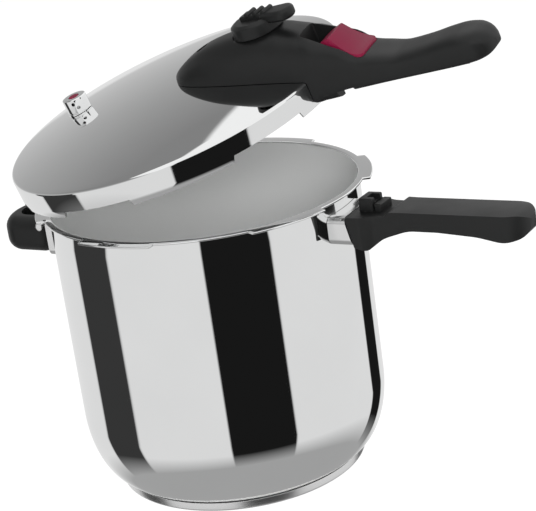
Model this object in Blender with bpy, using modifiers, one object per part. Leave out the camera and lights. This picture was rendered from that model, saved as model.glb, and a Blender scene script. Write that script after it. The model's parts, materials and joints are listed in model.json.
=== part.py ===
"""Stovetop pressure cooker: stainless pot, bayonet lid lifted off it, handles, valves and lock.

Metres, +Z up. The origin is the middle of the pot's base on the hob, and +X runs along the pot's
long handle. The lid's pieces are modelled in the lid's own frame: its origin is the middle of the
plane where the domed top turns down into the skirt, and its +X runs along the lid handle.
"""

import math

import bmesh
import bpy
from mathutils import Matrix, Vector

MM = 0.001
FIT = 0.3 * MM  # gap between two pieces that touch
EDGE = 0.0001  # largest distance that a modifier may merge over

# Pot
POT_RADIUS = 110 * MM
POT_HEIGHT = 207.4 * MM
POT_WALL = 1.0 * MM
CORNER_RUN = 24.4 * MM  # the rounded corner, along the floor of the pot
CORNER_RISE = 49.9 * MM  # the rounded corner, up its wall
BASE_RADIUS = POT_RADIUS - 19.7 * MM
BASE_THICK = 6.2 * MM
BASE_SKIN = 0.8 * MM
BASE_TOP = BASE_THICK + FIT  # underside of the pot's own sheet

# Bayonet
LUG_COUNT = 6
LUG_HEADING = 30.0  # degrees from the long handle to the first lug
RIM_REACH = 4.5 * MM  # rolled rim past the wall
TAB_REACH = 9.6 * MM  # rim tabs past the wall
RIM_THICK = 1.4 * MM
TAB_SPAN = 27.0  # degrees
LUG_SPAN = 24.0
LUG_CLEARANCE = 1.6 * MM  # under the tab when the lid is seated
LUG_THICK = 1.2 * MM
LUG_GAP = 1.7 * MM  # from a lug to the rim that it passes

# Lid
LID_SHEET = 1.2 * MM
LID_RADIUS = POT_RADIUS + TAB_REACH + 2.2 * MM + LID_SHEET
DOME_RISE = 12.7 * MM
KNUCKLE = 2.0 * MM
LID_SEAT = 9.0 * MM  # lid frame above the rim when seated
SEATED = POT_HEIGHT + LID_SEAT  # lid frame above the hob when seated
LUG_LOW = -LID_SEAT - RIM_THICK - LUG_CLEARANCE - LUG_THICK
SKIRT_DEPTH = 4.5 * MM - LUG_LOW
GASKET_LIP = 2.2 * MM
DOME_BALL = (LID_RADIUS**2 + DOME_RISE**2) / (2 * DOME_RISE)

# How the lid is held above the pot: it swings about a level-ish line beside the rim
SWING_ANGLE = 16.3  # degrees up from the seat, in the modelled pose
SWING_HEADING = -43.0  # heading of the swing axis
SWING_SLOPE = 2.75  # rise of the swing axis
SWING_REACH = POT_RADIUS + 93.8 * MM
SWING_HEIGHT = POT_HEIGHT - 3.1 * MM

# Screws
SCREW_RADIUS = 2.5 * MM
SCREW_HEAD = 4.3 * MM
SCREW_HEAD_RISE = 2.6 * MM
SMALL_SCREW_RADIUS = 1.6 * MM
SMALL_SCREW_HEAD = 3.0 * MM
SMALL_SCREW_HEAD_RISE = 0.9 * MM

# Long handle of the pot
GUARD_HALF = 22.5 * MM
GUARD_TOP = POT_HEIGHT - 10.1 * MM
GUARD_BOTTOM = GUARD_TOP - 20 * MM
GUARD_SHEET = 0.8 * MM
ROOT_START = POT_RADIUS + 11 * MM
ROOT_TOP = GUARD_TOP + FIT
ROOT_LEAN = 5 * MM  # the root's front face leans out towards its foot
GRIP_START = ROOT_START + 29 * MM
GRIP_TOP = GUARD_TOP + 3.2 * MM
GRIP_HALF = 16 * MM
HANDLE_END = GRIP_START + 96.5 * MM
POT_SCREW_X = GRIP_START - 4 * MM
TONGUE_HALF = 7 * MM
TONGUE_THICK = 3 * MM
TONGUE_Z = GUARD_TOP - 7.3 * MM
TONGUE_END = POT_SCREW_X + 8 * MM

# Catch on the long handle, and the bolt that enters it
CATCH_START = LID_RADIUS + 2.5 * MM
CATCH_LENGTH = 10.5 * MM
CATCH_END = CATCH_START + CATCH_LENGTH
CATCH_HALF = 8 * MM
CATCH_TOP = POT_HEIGHT - 0.9 * MM
SILL_START = CATCH_END + 1 * MM
SILL_END = SILL_START + 5.5 * MM
SILL_TOP = POT_HEIGHT - 4.2 * MM
BOLT_THICK = 1.7 * MM
BOLT_HALF = 3.5 * MM
BOLT_TRAVEL = 7.0 * MM
BOLT_START = CATCH_END + 2 * MM
BOLT_END = BOLT_START + 34.5 * MM
BOLT_LOW = SILL_TOP - SEATED + 0.4 * MM

# Helper handle
HELPER_START = POT_RADIUS + 14.5 * MM
HELPER_END = HELPER_START + 47.9 * MM
HELPER_HALF = 27 * MM
HELPER_BOTTOM = POT_HEIGHT - 46.9 * MM
HELPER_TOP = HELPER_BOTTOM + 26.5 * MM
HELPER_PIN_X = HELPER_START + 5.3 * MM
HELPER_PIN_Z = HELPER_TOP - 4.8 * MM
HELPER_PIN_RADIUS = 2.0 * MM
HELPER_PIN_HEAD = 3.0 * MM
HELPER_TONGUE_HALF = 10 * MM
FINGER_START = HELPER_START + 12.5 * MM
FINGER_END = HELPER_END - 11.9 * MM
FINGER_HALF = 15.5 * MM

# Lid handle, in the lid's frame
NOSE_X = LID_RADIUS - 111 * MM
LID_HANDLE_END = HANDLE_END + 3 * MM
LID_GRIP_BOTTOM = GRIP_TOP + 1.4 * MM - SEATED
COVER_START = BOLT_END - 19.5 * MM
COVER_END = LID_HANDLE_END - 17.5 * MM
COVER_HALF = 13 * MM
COVER_THICK = 1.2 * MM
COVER_LOW = LID_GRIP_BOTTOM + 0.1 * MM
COVER_SCREW_X = COVER_END - 18 * MM
COVER_SCREW_TIP = COVER_LOW + 11.4 * MM
BUTTON_START = LID_RADIUS + 7.5 * MM
BUTTON_END = BUTTON_START + 32.5 * MM
BUTTON_NOSE_HALF = 8.0 * MM
BUTTON_WAIST_HALF = 9.9 * MM
BUTTON_HALF = 14.4 * MM
BUTTON_FLOOR = 2.5 * MM
STEM_START = BUTTON_START + 19.5 * MM  # the button's stem, along the handle
STEM_END = STEM_START + 10 * MM
SPRING_START = STEM_END - 2 * MM
SPRING_END = BOLT_END + 18.1 * MM
SPRING_MIDDLE = -7.6 * MM

# Valves on the lid, in the lid's frame
KNOB_X = LID_RADIUS - 33 * MM
KNOB_RADIUS = 17.5 * MM
KNOB_BASE = DOME_RISE + 22.3 * MM
KNOB_DISC = 9.5 * MM
KNOB_TOP = KNOB_BASE + KNOB_DISC
KNOB_ROOF = KNOB_TOP - 2.5 * MM  # of the hollow that the spring stands in
KNOB_HOLLOW = 5.4 * MM
KNOB_LEVER = 3.0 * MM
KNOB_LEVER_THICK = 9.0 * MM
KNOB_REACH = KNOB_RADIUS + 15.5 * MM
KNOB_STEM = 8.7 * MM
KNOB_POINTER = -8.0  # heading of the knob's pointer from the handle
VALVE_SHANK = 5.6 * MM
VALVE_BORE = 2.9 * MM
VALVE_TOP = DOME_RISE + 10.8 * MM
VALVE_FOOT = -6 * MM
INDICATOR_X = KNOB_X - 50 * MM
INDICATOR_RADIUS = 2.7 * MM
INDICATOR_LIFT = 6.0 * MM
INDICATOR_TOP = DOME_RISE + 14.3 * MM
COLLAR_RADIUS = 4.6 * MM
COLLAR_TOP = DOME_RISE + 1.5 * MM
WINDOW_FLOOR = INDICATOR_TOP + 3.5 * MM
SAFETY_X = 44 * MM - LID_RADIUS
SAFETY_RADIUS = 8.8 * MM
SAFETY_SHANK = 5.0 * MM
SAFETY_TOP = DOME_RISE + 6.9 * MM
SAFETY_FOOT = -4 * MM
HANDLE_SCREW_X = KNOB_X - 24 * MM
HANDLE_SCREW_Y = 12 * MM
HANDLE_SCREW_TIP = DOME_RISE + 7.3 * MM

BIG_STEPS = 60
DOME_RINGS = 6
CORNER_STEPS = 5
SMALL_STEPS = 20

STEEL = ((0.62, 0.62, 0.62), 0.12, 1.0)
SATIN = ((0.50, 0.50, 0.50), 0.35, 1.0)
ALUMINIUM = ((0.55, 0.56, 0.57), 0.45, 1.0)
BRASS = ((0.60, 0.45, 0.20), 0.35, 1.0)
BAKELITE = ((0.016, 0.016, 0.016), 0.42, 0.0)
BURGUNDY = ((0.20, 0.008, 0.032), 0.38, 0.0)
SILICONE = ((0.30, 0.30, 0.30), 0.70, 0.0)


def collection(name):
    found = bpy.data.collections.new(name)
    bpy.context.scene.collection.children.link(found)
    return found


def clear_scene():
    for old in list(bpy.data.objects):
        bpy.data.objects.remove(old, do_unlink=True)


clear_scene()
PARTS = collection("pressure_cooker")
CUTTERS = collection("cutters")


def finish(name, look):
    colour, roughness, metallic = look
    made = bpy.data.materials.new(name)
    made.use_nodes = True
    shader = made.node_tree.nodes["Principled BSDF"]
    shader.inputs["Base Color"].default_value = (*colour, 1.0)
    shader.inputs["Roughness"].default_value = roughness
    shader.inputs["Metallic"].default_value = metallic
    return made


def new_object(name, mesh, look=None, home=None):
    """An object in the parts collection, or a cutter when it has no look."""
    made = bpy.data.objects.new(name, mesh)
    if look is None:
        CUTTERS.objects.link(made)
        made.hide_render = True
        made.display_type = "WIRE"
    else:
        PARTS.objects.link(made)
        mesh.materials.append(finish(name, look))
    if home is not None:
        made.parent = home
    return made


def mesh_from(name, shape):
    bmesh.ops.recalc_face_normals(shape, faces=shape.faces[:])
    mesh = bpy.data.meshes.new(name)
    shape.to_mesh(mesh)
    shape.free()
    return mesh


def smooth(made, angle=35.0):
    made.data.shade_smooth()
    made.data.set_sharp_from_angle(angle=math.radians(angle))
    return made


def turned(name, section, look=None, home=None, steps=SMALL_STEPS, at=(0.0, 0.0)):
    """A section of (radius, height) points, up its inner side and down its outer side, turned about +Z."""
    shape = bmesh.new()
    points = [shape.verts.new((radius, 0.0, height)) for radius, height in section]
    for here, there in zip(points, points[1:]):
        shape.edges.new((here, there))
    if section[0][0] > 0.0:
        shape.edges.new((points[-1], points[0]))
    mesh = bpy.data.meshes.new(name)
    shape.to_mesh(mesh)
    shape.free()
    made = new_object(name, mesh, look, home)
    made.location = (*at, 0.0)
    screw = made.modifiers.new("turn", "SCREW")
    screw.axis = "Z"
    screw.steps = steps
    screw.render_steps = steps
    screw.use_merge_vertices = True
    screw.merge_threshold = EDGE / 10
    screw.use_smooth_shade = True
    return made


def loft(name, rings, look=None, home=None):
    """A closed skin over rings of equally many points, with a flat cap on each end."""
    shape = bmesh.new()
    rows = [[shape.verts.new(point) for point in ring] for ring in rings]
    for here, there in zip(rows, rows[1:]):
        for i in range(len(here)):
            j = (i + 1) % len(here)
            shape.faces.new((here[i], here[j], there[j], there[i]))
    shape.faces.new(rows[0])
    shape.faces.new(rows[-1])
    return new_object(name, mesh_from(name, shape), look, home)


def prism(name, outline, direction, look=None, home=None):
    """A flat outline of 3-D points, pushed along a direction."""
    push = Vector(direction)
    return loft(name, [outline, [Vector(point) + push for point in outline]], look, home)


def sector(name, inner, outer, low, high, start, end, steps=6, look=None, home=None):
    """A piece of a flat ring between two headings in degrees."""
    rings = []
    for i in range(steps + 1):
        angle = math.radians(start + (end - start) * i / steps)
        along = Vector((math.cos(angle), math.sin(angle), 0.0))
        corners = ((inner, low), (outer, low), (outer, high), (inner, high))
        rings.append([along * radius + Vector((0, 0, height)) for radius, height in corners])
    return loft(name, rings, look, home)


def box(name, x, y, z, look=None, home=None):
    """A box between two values on each axis."""
    shape = bmesh.new()
    bmesh.ops.create_cube(shape, size=1.0)
    size = (x[1] - x[0], y[1] - y[0], z[1] - z[0])
    middle = (sum(x) / 2, sum(y) / 2, sum(z) / 2)
    bmesh.ops.scale(shape, vec=size, verts=shape.verts[:])
    bmesh.ops.translate(shape, vec=middle, verts=shape.verts[:])
    return new_object(name, mesh_from(name, shape), look, home)


def rod(name, radius, start, end, look=None, home=None, steps=SMALL_STEPS):
    """A plain cylinder from one point to another."""
    start, end = Vector(start), Vector(end)
    shape = bmesh.new()
    bmesh.ops.create_cone(
        shape, cap_ends=True, segments=steps, radius1=radius, radius2=radius, depth=(end - start).length
    )
    turn = (end - start).to_track_quat("Z", "Y").to_matrix()
    bmesh.ops.rotate(shape, matrix=turn, verts=shape.verts[:])
    bmesh.ops.translate(shape, vec=(start + end) / 2, verts=shape.verts[:])
    return new_object(name, mesh_from(name, shape), look, home)


def bevel(made, width, segments=2, angle=40.0):
    rounding = made.modifiers.new("round", "BEVEL")
    rounding.width = width
    rounding.segments = segments
    rounding.limit_method = "ANGLE"
    rounding.angle_limit = math.radians(angle)
    return made


def combine(made, operation, *tools):
    for tool in tools:
        tool.parent = made.parent
        step = made.modifiers.new(operation.lower(), "BOOLEAN")
        step.operation = operation
        step.solver = "EXACT"
        step.object = tool
    return made


def cut(made, *tools):
    return combine(made, "DIFFERENCE", *tools)


def join(made, *tools):
    return combine(made, "UNION", *tools)


def coil(name, look, home, radius, wire, turns, start, end):
    """A helical spring of round wire between two points."""
    start, end = Vector(start), Vector(end)
    along = (end - start).normalized()
    across = along.orthogonal().normalized()
    other = along.cross(across)
    per_turn = 12
    count = int(turns * per_turn) + 1
    curve = bpy.data.curves.new(name, "CURVE")
    curve.dimensions = "3D"
    curve.bevel_depth = wire / 2
    curve.bevel_resolution = 1
    curve.use_fill_caps = True
    line = curve.splines.new("POLY")
    line.points.add(count - 1)
    inset = along * (wire / 2)
    for i, point in enumerate(line.points):
        angle = 2 * math.pi * i / per_turn
        place = (start + inset).lerp(end - inset, i / (count - 1))
        place += radius * (math.cos(angle) * across + math.sin(angle) * other)
        point.co = (*place, 1.0)
    made = bpy.data.objects.new(name, curve)
    PARTS.objects.link(made)
    curve.materials.append(finish(name, look))
    made.parent = home
    return made


def arc(centre, radius, start, end, steps, rise=None):
    """Points of (x, z) along an ellipse from one angle to another, in degrees."""
    rise = radius if rise is None else rise
    points = []
    for i in range(steps + 1):
        angle = math.radians(start + (end - start) * i / steps)
        points.append((centre[0] + radius * math.cos(angle), centre[1] + rise * math.sin(angle)))
    return points


# ---------------------------------------------------------------- where the lid is held


def swing_axis():
    heading, slope = math.radians(SWING_HEADING), math.radians(SWING_SLOPE)
    level = Vector((math.cos(heading), math.sin(heading), 0.0))
    return (level * math.cos(slope) + Vector((0, 0, math.sin(slope)))).normalized()


def swing_point():
    away = math.radians(SWING_HEADING - 90.0)
    return Vector((SWING_REACH * math.cos(away), SWING_REACH * math.sin(away), SWING_HEIGHT))


def lid_frame():
    """The lid's own frame, lifted off its seat about the swing axis."""
    pivot = Matrix.Translation(swing_point())
    lift = Matrix.Rotation(math.radians(SWING_ANGLE), 4, swing_axis())
    seat = Matrix.Translation((0, 0, SEATED))
    return pivot @ lift @ pivot.inverted() @ seat


def empty(name, place):
    made = bpy.data.objects.new(name, None)
    PARTS.objects.link(made)
    made.matrix_world = place
    return made


LID = empty("lid_frame", lid_frame())


def dome(radius):
    """Height of the lid's outer face above the lid's frame."""
    return DOME_RISE - DOME_BALL + math.sqrt(DOME_BALL**2 - radius**2)


def under(radius):
    return dome(radius) - LID_SHEET


# ---------------------------------------------------------------- pot


def pot_body():
    wall_inside = POT_RADIUS - POT_WALL
    floor_radius = POT_RADIUS - CORNER_RUN
    inside = arc(
        (floor_radius, BASE_TOP + CORNER_RISE),
        CORNER_RUN - POT_WALL,
        -90,
        0,
        CORNER_STEPS,
        CORNER_RISE - POT_WALL,
    )
    outside = arc((floor_radius, BASE_TOP + CORNER_RISE), CORNER_RUN, 0, -90, CORNER_STEPS, CORNER_RISE)
    rim = [
        (wall_inside, POT_HEIGHT - 0.4 * MM),
        (wall_inside + 0.4 * MM, POT_HEIGHT),
        (POT_RADIUS + RIM_REACH - 0.4 * MM, POT_HEIGHT),
        (POT_RADIUS + RIM_REACH, POT_HEIGHT - 0.5 * RIM_THICK),
        (POT_RADIUS + RIM_REACH - 0.4 * MM, POT_HEIGHT - RIM_THICK),
        (POT_RADIUS, POT_HEIGHT - RIM_THICK),
    ]
    axis = [(0.0, BASE_TOP + POT_WALL)], [(0.0, BASE_TOP)]
    made = turned("pot_body", axis[0] + inside + rim + outside + axis[1], STEEL, steps=BIG_STEPS)
    inner = POT_RADIUS + RIM_REACH / 2
    outer = POT_RADIUS + TAB_REACH
    lip = 0.1 * MM  # keeps the tab's faces off the rim's own
    for i in range(LUG_COUNT):
        middle = LUG_HEADING + i * 360 / LUG_COUNT
        tab = sector(
            f"rim_tab_{i + 1}",
            inner,
            outer,
            POT_HEIGHT - RIM_THICK + lip,
            POT_HEIGHT - lip,
            middle - TAB_SPAN / 2,
            middle + TAB_SPAN / 2,
        )
        join(made, tab)
    return made


def base():
    skin = [
        (0.0, BASE_SKIN),
        (BASE_RADIUS - BASE_SKIN, BASE_SKIN),
        (BASE_RADIUS - BASE_SKIN, BASE_THICK),
        (BASE_RADIUS, BASE_THICK),
        (BASE_RADIUS, 0.8 * MM),
        (BASE_RADIUS - 0.8 * MM, 0.0),
        (0.0, 0.0),
    ]
    turned("base_cap", skin, STEEL, steps=BIG_STEPS)
    core_radius = BASE_RADIUS - BASE_SKIN - FIT
    core = [
        (0.0, BASE_THICK),
        (core_radius, BASE_THICK),
        (core_radius, BASE_SKIN + FIT),
        (0.0, BASE_SKIN + FIT),
    ]
    turned("base_core", core, ALUMINIUM, steps=BIG_STEPS)


def wall_cutter(name, home=None):
    """The pot with a running gap, for pieces that lie against its wall."""
    ends = [(0, 0, POT_HEIGHT / 2), (0, 0, POT_HEIGHT - RIM_THICK)]
    return rod(name, POT_RADIUS + FIT, *ends, home=home, steps=BIG_STEPS)


def rounded_band(half, low, high, corner, steps=3):
    """A rounded rectangle of (y, z) points."""
    points = []
    for y, z, start in (
        (half - corner, high - corner, 0),
        (-half + corner, high - corner, 90),
        (-half + corner, low + corner, 180),
        (half - corner, low + corner, 270),
    ):
        points += arc((y, z), corner, start, start + 90, steps)
    return points


def flame_guard(name, side, half, low, high, reach, lean):
    """A sheet-steel sleeve between the pot's wall and a handle's root."""
    ends = (0.8 * POT_RADIUS, reach)
    rings_out = []
    rings_in = []
    for along in ends:
        for ring, inset in ((rings_out, 0.0), (rings_in, GUARD_SHEET)):
            band = rounded_band(half - inset, low + inset, high - inset, 6 * MM - inset)
            row = []
            for y, z in band:
                tilt = lean * (high - z) / (high - low) if along == reach else 0.0
                grow = 0.0 if inset == 0.0 else (1 * MM if along == reach else -1 * MM)
                row.append((side * (along + tilt + grow), y, z))
            ring.append(row)
    made = loft(name, rings_out, STEEL)
    cut(made, loft(name + "_bore", rings_in), wall_cutter(name + "_wall"))
    return made


def bracket(name, side, low, high, tongue_end, tongue_low, tongue_high, tongue_half, half):
    """A plate welded to the wall, with a tongue that runs into the handle."""
    plate = sorted((side * 0.95 * POT_RADIUS, side * (POT_RADIUS + 4 * MM)))
    made = box(name, plate, (-half, half), (low, high), SATIN)
    start = POT_RADIUS + 2 * MM
    reach = sorted((side * start, side * tongue_end))
    tongue = box(name + "_tongue", reach, (-tongue_half, tongue_half), (tongue_low, tongue_high))
    join(made, tongue)
    cut(made, wall_cutter(name + "_wall"))
    return made


def pot_handle():
    """The long handle: its side outline met with its plan outline."""
    side = [
        (ROOT_START, ROOT_TOP),
        (GRIP_START - 3 * MM, ROOT_TOP),
        (GRIP_START + 1 * MM, GRIP_TOP),
        (HANDLE_END - 8 * MM, GRIP_TOP),
        (HANDLE_END - 2.5 * MM, GRIP_TOP - 3 * MM),
        (HANDLE_END, GRIP_TOP - 8.5 * MM),
        (HANDLE_END - 3 * MM, GRIP_TOP - 13.5 * MM),
        (HANDLE_END - 10 * MM, GRIP_TOP - 16.3 * MM),
        (HANDLE_END - 19 * MM, GRIP_TOP - 17.0 * MM),
        (HANDLE_END - 30 * MM, GRIP_TOP - 15.6 * MM),
        (HANDLE_END - 42 * MM, GRIP_TOP - 14.2 * MM),
        (HANDLE_END - 60 * MM, GRIP_TOP - 13.0 * MM),
        (HANDLE_END - 79 * MM, GRIP_TOP - 12.8 * MM),
        (GRIP_START + 8 * MM, GRIP_TOP - 14.0 * MM),
        (GRIP_START, GRIP_TOP - 16.0 * MM),
        (GRIP_START - 8 * MM, GRIP_TOP - 20.0 * MM),
        (GRIP_START - 14 * MM, GRIP_TOP - 25.0 * MM),
        (GRIP_START - 18 * MM, GRIP_TOP - 26.5 * MM),
        (ROOT_START + ROOT_LEAN, GUARD_BOTTOM - 0.8 * MM),
    ]
    made = prism(
        "pot_handle", [(x, -1.2 * GUARD_HALF, z) for x, z in side], (0, 2.4 * GUARD_HALF, 0), BAKELITE
    )
    heel = arc((HANDLE_END - 13 * MM, 0.0), 13 * MM, 90, -90, 8, GRIP_HALF)
    plan = [
        (GRIP_START + 4 * MM, -GRIP_HALF),
        (GRIP_START - 8 * MM, -GRIP_HALF - 2 * MM),
        (ROOT_START + 12 * MM, -GUARD_HALF + 1.0 * MM),
        (ROOT_START - 2 * MM, -GUARD_HALF + 0.3 * MM),
        (ROOT_START - 2 * MM, GUARD_HALF - 0.3 * MM),
        (ROOT_START + 12 * MM, GUARD_HALF - 1.0 * MM),
        (GRIP_START - 8 * MM, GRIP_HALF + 2 * MM),
        (GRIP_START + 4 * MM, GRIP_HALF),
    ]
    from_above = prism(
        "pot_handle_plan", [(x, y, GUARD_BOTTOM - 20 * MM) for x, y in plan + heel], (0, 0, 60 * MM)
    )
    combine(made, "INTERSECT", from_above)
    bevel(made, 1.6 * MM, 2, 30)
    across, foot = (-CATCH_HALF, CATCH_HALF), ROOT_TOP - 3 * MM
    catch = box("catch", (CATCH_START, CATCH_END), across, (foot, CATCH_TOP))
    sill = box("catch_sill", (SILL_START, SILL_END), across, (foot, SILL_TOP))
    join(made, catch, sill)
    notch = box(
        "catch_notch",
        (CATCH_END - 5.7 * MM, CATCH_END + 1 * MM),
        (-BOLT_HALF - 0.7 * MM, BOLT_HALF + 0.7 * MM),
        (SILL_TOP - 0.1 * MM, CATCH_TOP + 1 * MM),
    )
    slot = box(
        "tongue_slot",
        (ROOT_START - 5 * MM, TONGUE_END + FIT),
        (-TONGUE_HALF - FIT, TONGUE_HALF + FIT),
        (TONGUE_Z - FIT, TONGUE_Z + TONGUE_THICK + FIT),
    )
    outside = TONGUE_Z - 20 * MM
    seat = TONGUE_Z - 3.5 * MM
    tip = TONGUE_Z + TONGUE_THICK + 2.5 * MM
    hole = rod(
        "pot_screw_hole", SCREW_RADIUS + FIT, (POT_SCREW_X, 0, outside), (POT_SCREW_X, 0, tip + 0.5 * MM)
    )
    sink = rod("pot_screw_sink", SCREW_HEAD + 0.7 * MM, (POT_SCREW_X, 0, outside), (POT_SCREW_X, 0, seat))
    cut(made, notch, slot, hole, sink)

    flame_guard(
        "pot_flame_guard", 1, GUARD_HALF, GUARD_BOTTOM, GUARD_TOP, ROOT_START - FIT - 0.4 * MM, ROOT_LEAN
    )
    steel = bracket(
        "pot_bracket",
        1,
        GUARD_BOTTOM + 3 * MM,
        GUARD_TOP - 3 * MM,
        TONGUE_END,
        TONGUE_Z,
        TONGUE_Z + TONGUE_THICK,
        TONGUE_HALF,
        GUARD_HALF - 5 * MM,
    )
    cut(steel, rod("tongue_hole", SCREW_RADIUS + FIT, (POT_SCREW_X, 0, outside), (POT_SCREW_X, 0, tip)))
    screw("pot_handle_screw", (POT_SCREW_X, 0.0), seat - FIT, tip)


def screw(name, at, seat, tip, home=None, radius=SCREW_RADIUS, head=SCREW_HEAD, rise=SCREW_HEAD_RISE):
    """A screw whose head lies below its seat and whose tip points up."""
    slot = 0.45 * head
    depth = 0.45 * rise
    section = [
        (0.0, tip),
        (radius - 0.5 * MM, tip),
        (radius, tip - 0.8 * MM),
        (radius, seat),
        (head, seat),
        (head, seat - rise + 0.5 * MM),
        (head - 0.5 * MM, seat - rise),
        (slot, seat - rise),
        (slot, seat - rise + depth),
        (0.0, seat - rise + depth),
    ]
    return turned(name, section, SATIN, home, at=at, steps=16)


def helper_handle():
    """The short loop handle opposite the long one."""
    nose = arc((HELPER_END - 19 * MM, 0.0), 19 * MM, -90, 90, 14, HELPER_HALF)
    outline = [(HELPER_START, -HELPER_HALF)] + nose + [(HELPER_START, HELPER_HALF)]
    made = prism(
        "helper_handle",
        [(-x, y, HELPER_BOTTOM) for x, y in outline],
        (0, 0, HELPER_TOP - HELPER_BOTTOM),
        BAKELITE,
    )
    bevel(made, 4.5 * MM, 3, 50)
    run = FINGER_END - FINGER_START
    gap = arc((FINGER_END - run / 2, 0.0), run / 2, -90, 90, 8, FINGER_HALF)
    gap = [(FINGER_START, -FINGER_HALF)] + gap + [(FINGER_START, FINGER_HALF)]
    hole = prism("finger_gap", [(-x, y, HELPER_BOTTOM - 5 * MM) for x, y in gap], (0, 0, 40 * MM))
    low, high = HELPER_PIN_Z - 6 * MM, HELPER_PIN_Z + HELPER_PIN_RADIUS + FIT + 0.6 * MM
    tongue_end = HELPER_PIN_X + 4.2 * MM
    slot = box(
        "helper_slot",
        (-tongue_end - FIT, -HELPER_START + 5 * MM),
        (-HELPER_TONGUE_HALF - FIT, HELPER_TONGUE_HALF + FIT),
        (low - FIT, high + FIT),
    )
    across = 1.2 * HELPER_HALF
    ends = [(-HELPER_PIN_X, y, HELPER_PIN_Z) for y in (-across, across)]
    hole_for_pin = rod("helper_pin_hole", HELPER_PIN_RADIUS + FIT, *ends)
    cut(made, hole, slot, hole_for_pin)
    flame_guard(
        "helper_flame_guard", -1, HELPER_HALF + 0.6 * MM, HELPER_BOTTOM - 0.6 * MM, HELPER_TOP + 1.4 * MM,
        HELPER_START - FIT, 0.0,
    )
    steel = bracket(
        "helper_bracket",
        -1,
        HELPER_BOTTOM + 4 * MM,
        HELPER_TOP - 2.5 * MM,
        tongue_end,
        low,
        high,
        HELPER_TONGUE_HALF,
        HELPER_HALF - 6 * MM,
    )
    cut(steel, rod("helper_tongue_hole", HELPER_PIN_RADIUS + FIT, *ends))
    inner, outer, cap = HELPER_HALF + FIT, HELPER_HALF + 1.5 * MM, HELPER_PIN_HEAD
    section = [
        (0.0, outer),
        (cap - 0.8 * MM, outer),
        (cap, outer - 0.6 * MM),
        (cap, inner),
        (HELPER_PIN_RADIUS, inner),
        (HELPER_PIN_RADIUS, -inner),
        (cap, -inner),
        (cap, 0.6 * MM - outer),
        (cap - 0.8 * MM, -outer),
        (0.0, -outer),
    ]
    pin = turned("helper_pin", section, STEEL, steps=20)
    pin.location = (-HELPER_PIN_X, 0, HELPER_PIN_Z)
    pin.rotation_euler = (math.pi / 2, 0, 0)


# ---------------------------------------------------------------- lid


def lid_section(gap=0.0):
    """The outer line of the lid from its top to the foot of its skirt, grown by a gap."""
    points = [(0.0, DOME_RISE + gap)]
    for i in range(1, DOME_RINGS + 1):
        radius = (LID_RADIUS - KNUCKLE) * i / DOME_RINGS
        points.append((radius, dome(radius) + gap))
    low = dome(LID_RADIUS - KNUCKLE)
    centre = (LID_RADIUS - KNUCKLE, low - KNUCKLE)
    points += arc(centre, KNUCKLE + gap, 60, 0, 2)
    return points


def lid_shell():
    outer = lid_section() + [(LID_RADIUS, -SKIRT_DEPTH)]
    skirt = LID_RADIUS - LID_SHEET
    inner = [(skirt, -SKIRT_DEPTH), (skirt, dome(LID_RADIUS - KNUCKLE) - KNUCKLE)]
    for i in range(DOME_RINGS, 0, -1):
        radius = (LID_RADIUS - KNUCKLE) * i / DOME_RINGS
        inner.append((radius, under(radius)))
    inner.append((0.0, DOME_RISE - LID_SHEET))
    made = turned("lid_shell", outer + inner, STEEL, LID, BIG_STEPS)
    lug_inner = POT_RADIUS + RIM_REACH + LUG_GAP
    for i in range(LUG_COUNT):
        middle = LUG_HEADING + i * 360 / LUG_COUNT
        start, end = middle - LUG_SPAN / 2, middle + LUG_SPAN / 2
        notch = sector(
            f"skirt_notch_{i + 1}", skirt - 3 * MM, LID_RADIUS + 3 * MM, -SKIRT_DEPTH - 2 * MM,
            LUG_LOW, start - 1, end + 1, home=LID,
        )
        cut(made, notch)
        lug = sector(
            f"lid_lug_{i + 1}", lug_inner, skirt + LID_SHEET / 2, LUG_LOW + 0.1 * MM,
            LUG_LOW + LUG_THICK, start, end, home=LID,
        )
        join(made, lug)
    holes = [
        (KNOB_X, 0.0, VALVE_SHANK + FIT),
        (INDICATOR_X, 0.0, INDICATOR_RADIUS + FIT),
        (SAFETY_X, 0.0, SAFETY_SHANK + FIT),
        (HANDLE_SCREW_X, HANDLE_SCREW_Y, SCREW_RADIUS + FIT),
        (HANDLE_SCREW_X, -HANDLE_SCREW_Y, SCREW_RADIUS + FIT),
    ]
    for i, (x, y, radius) in enumerate(holes):
        cut(made, rod(f"lid_hole_{i + 1}", radius, (x, y, -5 * MM), (x, y, 2 * DOME_RISE), home=LID))
    return made


def lid_clearance(name):
    """The space that the lid fills, with a running gap, for what sits on it."""
    outer = lid_section(FIT) + [(LID_RADIUS + FIT, -2 * SKIRT_DEPTH), (0.0, -2 * SKIRT_DEPTH)]
    return turned(name, outer, home=LID, steps=BIG_STEPS)


def gasket():
    """A channel ring, open inwards, between the rim and the underside of the lid."""
    outer = LID_RADIUS - LID_SHEET - FIT - 0.1 * MM
    inner = POT_RADIUS - 2 * MM
    low = -LID_SEAT + FIT
    lip = GASKET_LIP
    section = [
        (inner, under(inner) - 0.4 * MM - lip),
        (inner, under(inner) - 0.4 * MM),
        (outer - 3.4 * MM, under(outer - 3.4 * MM) - 0.4 * MM),
        (outer - 0.5 * MM, -2.2 * MM),
        (outer, -3.6 * MM),
        (outer, low + 1.1 * MM),
        (outer - 1.0 * MM, low),
        (inner + 0.6 * MM, low),
        (inner, low + lip),
        (outer - 4.2 * MM, low + lip),
        (outer - lip, low + 1.6 * lip),
        (outer - lip - 0.2 * MM, -1.6 * lip),
        (outer - 4.6 * MM, under(outer - 4.6 * MM) - 0.4 * MM - lip),
    ]
    turned("gasket", section, SILICONE, LID, BIG_STEPS)


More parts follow.
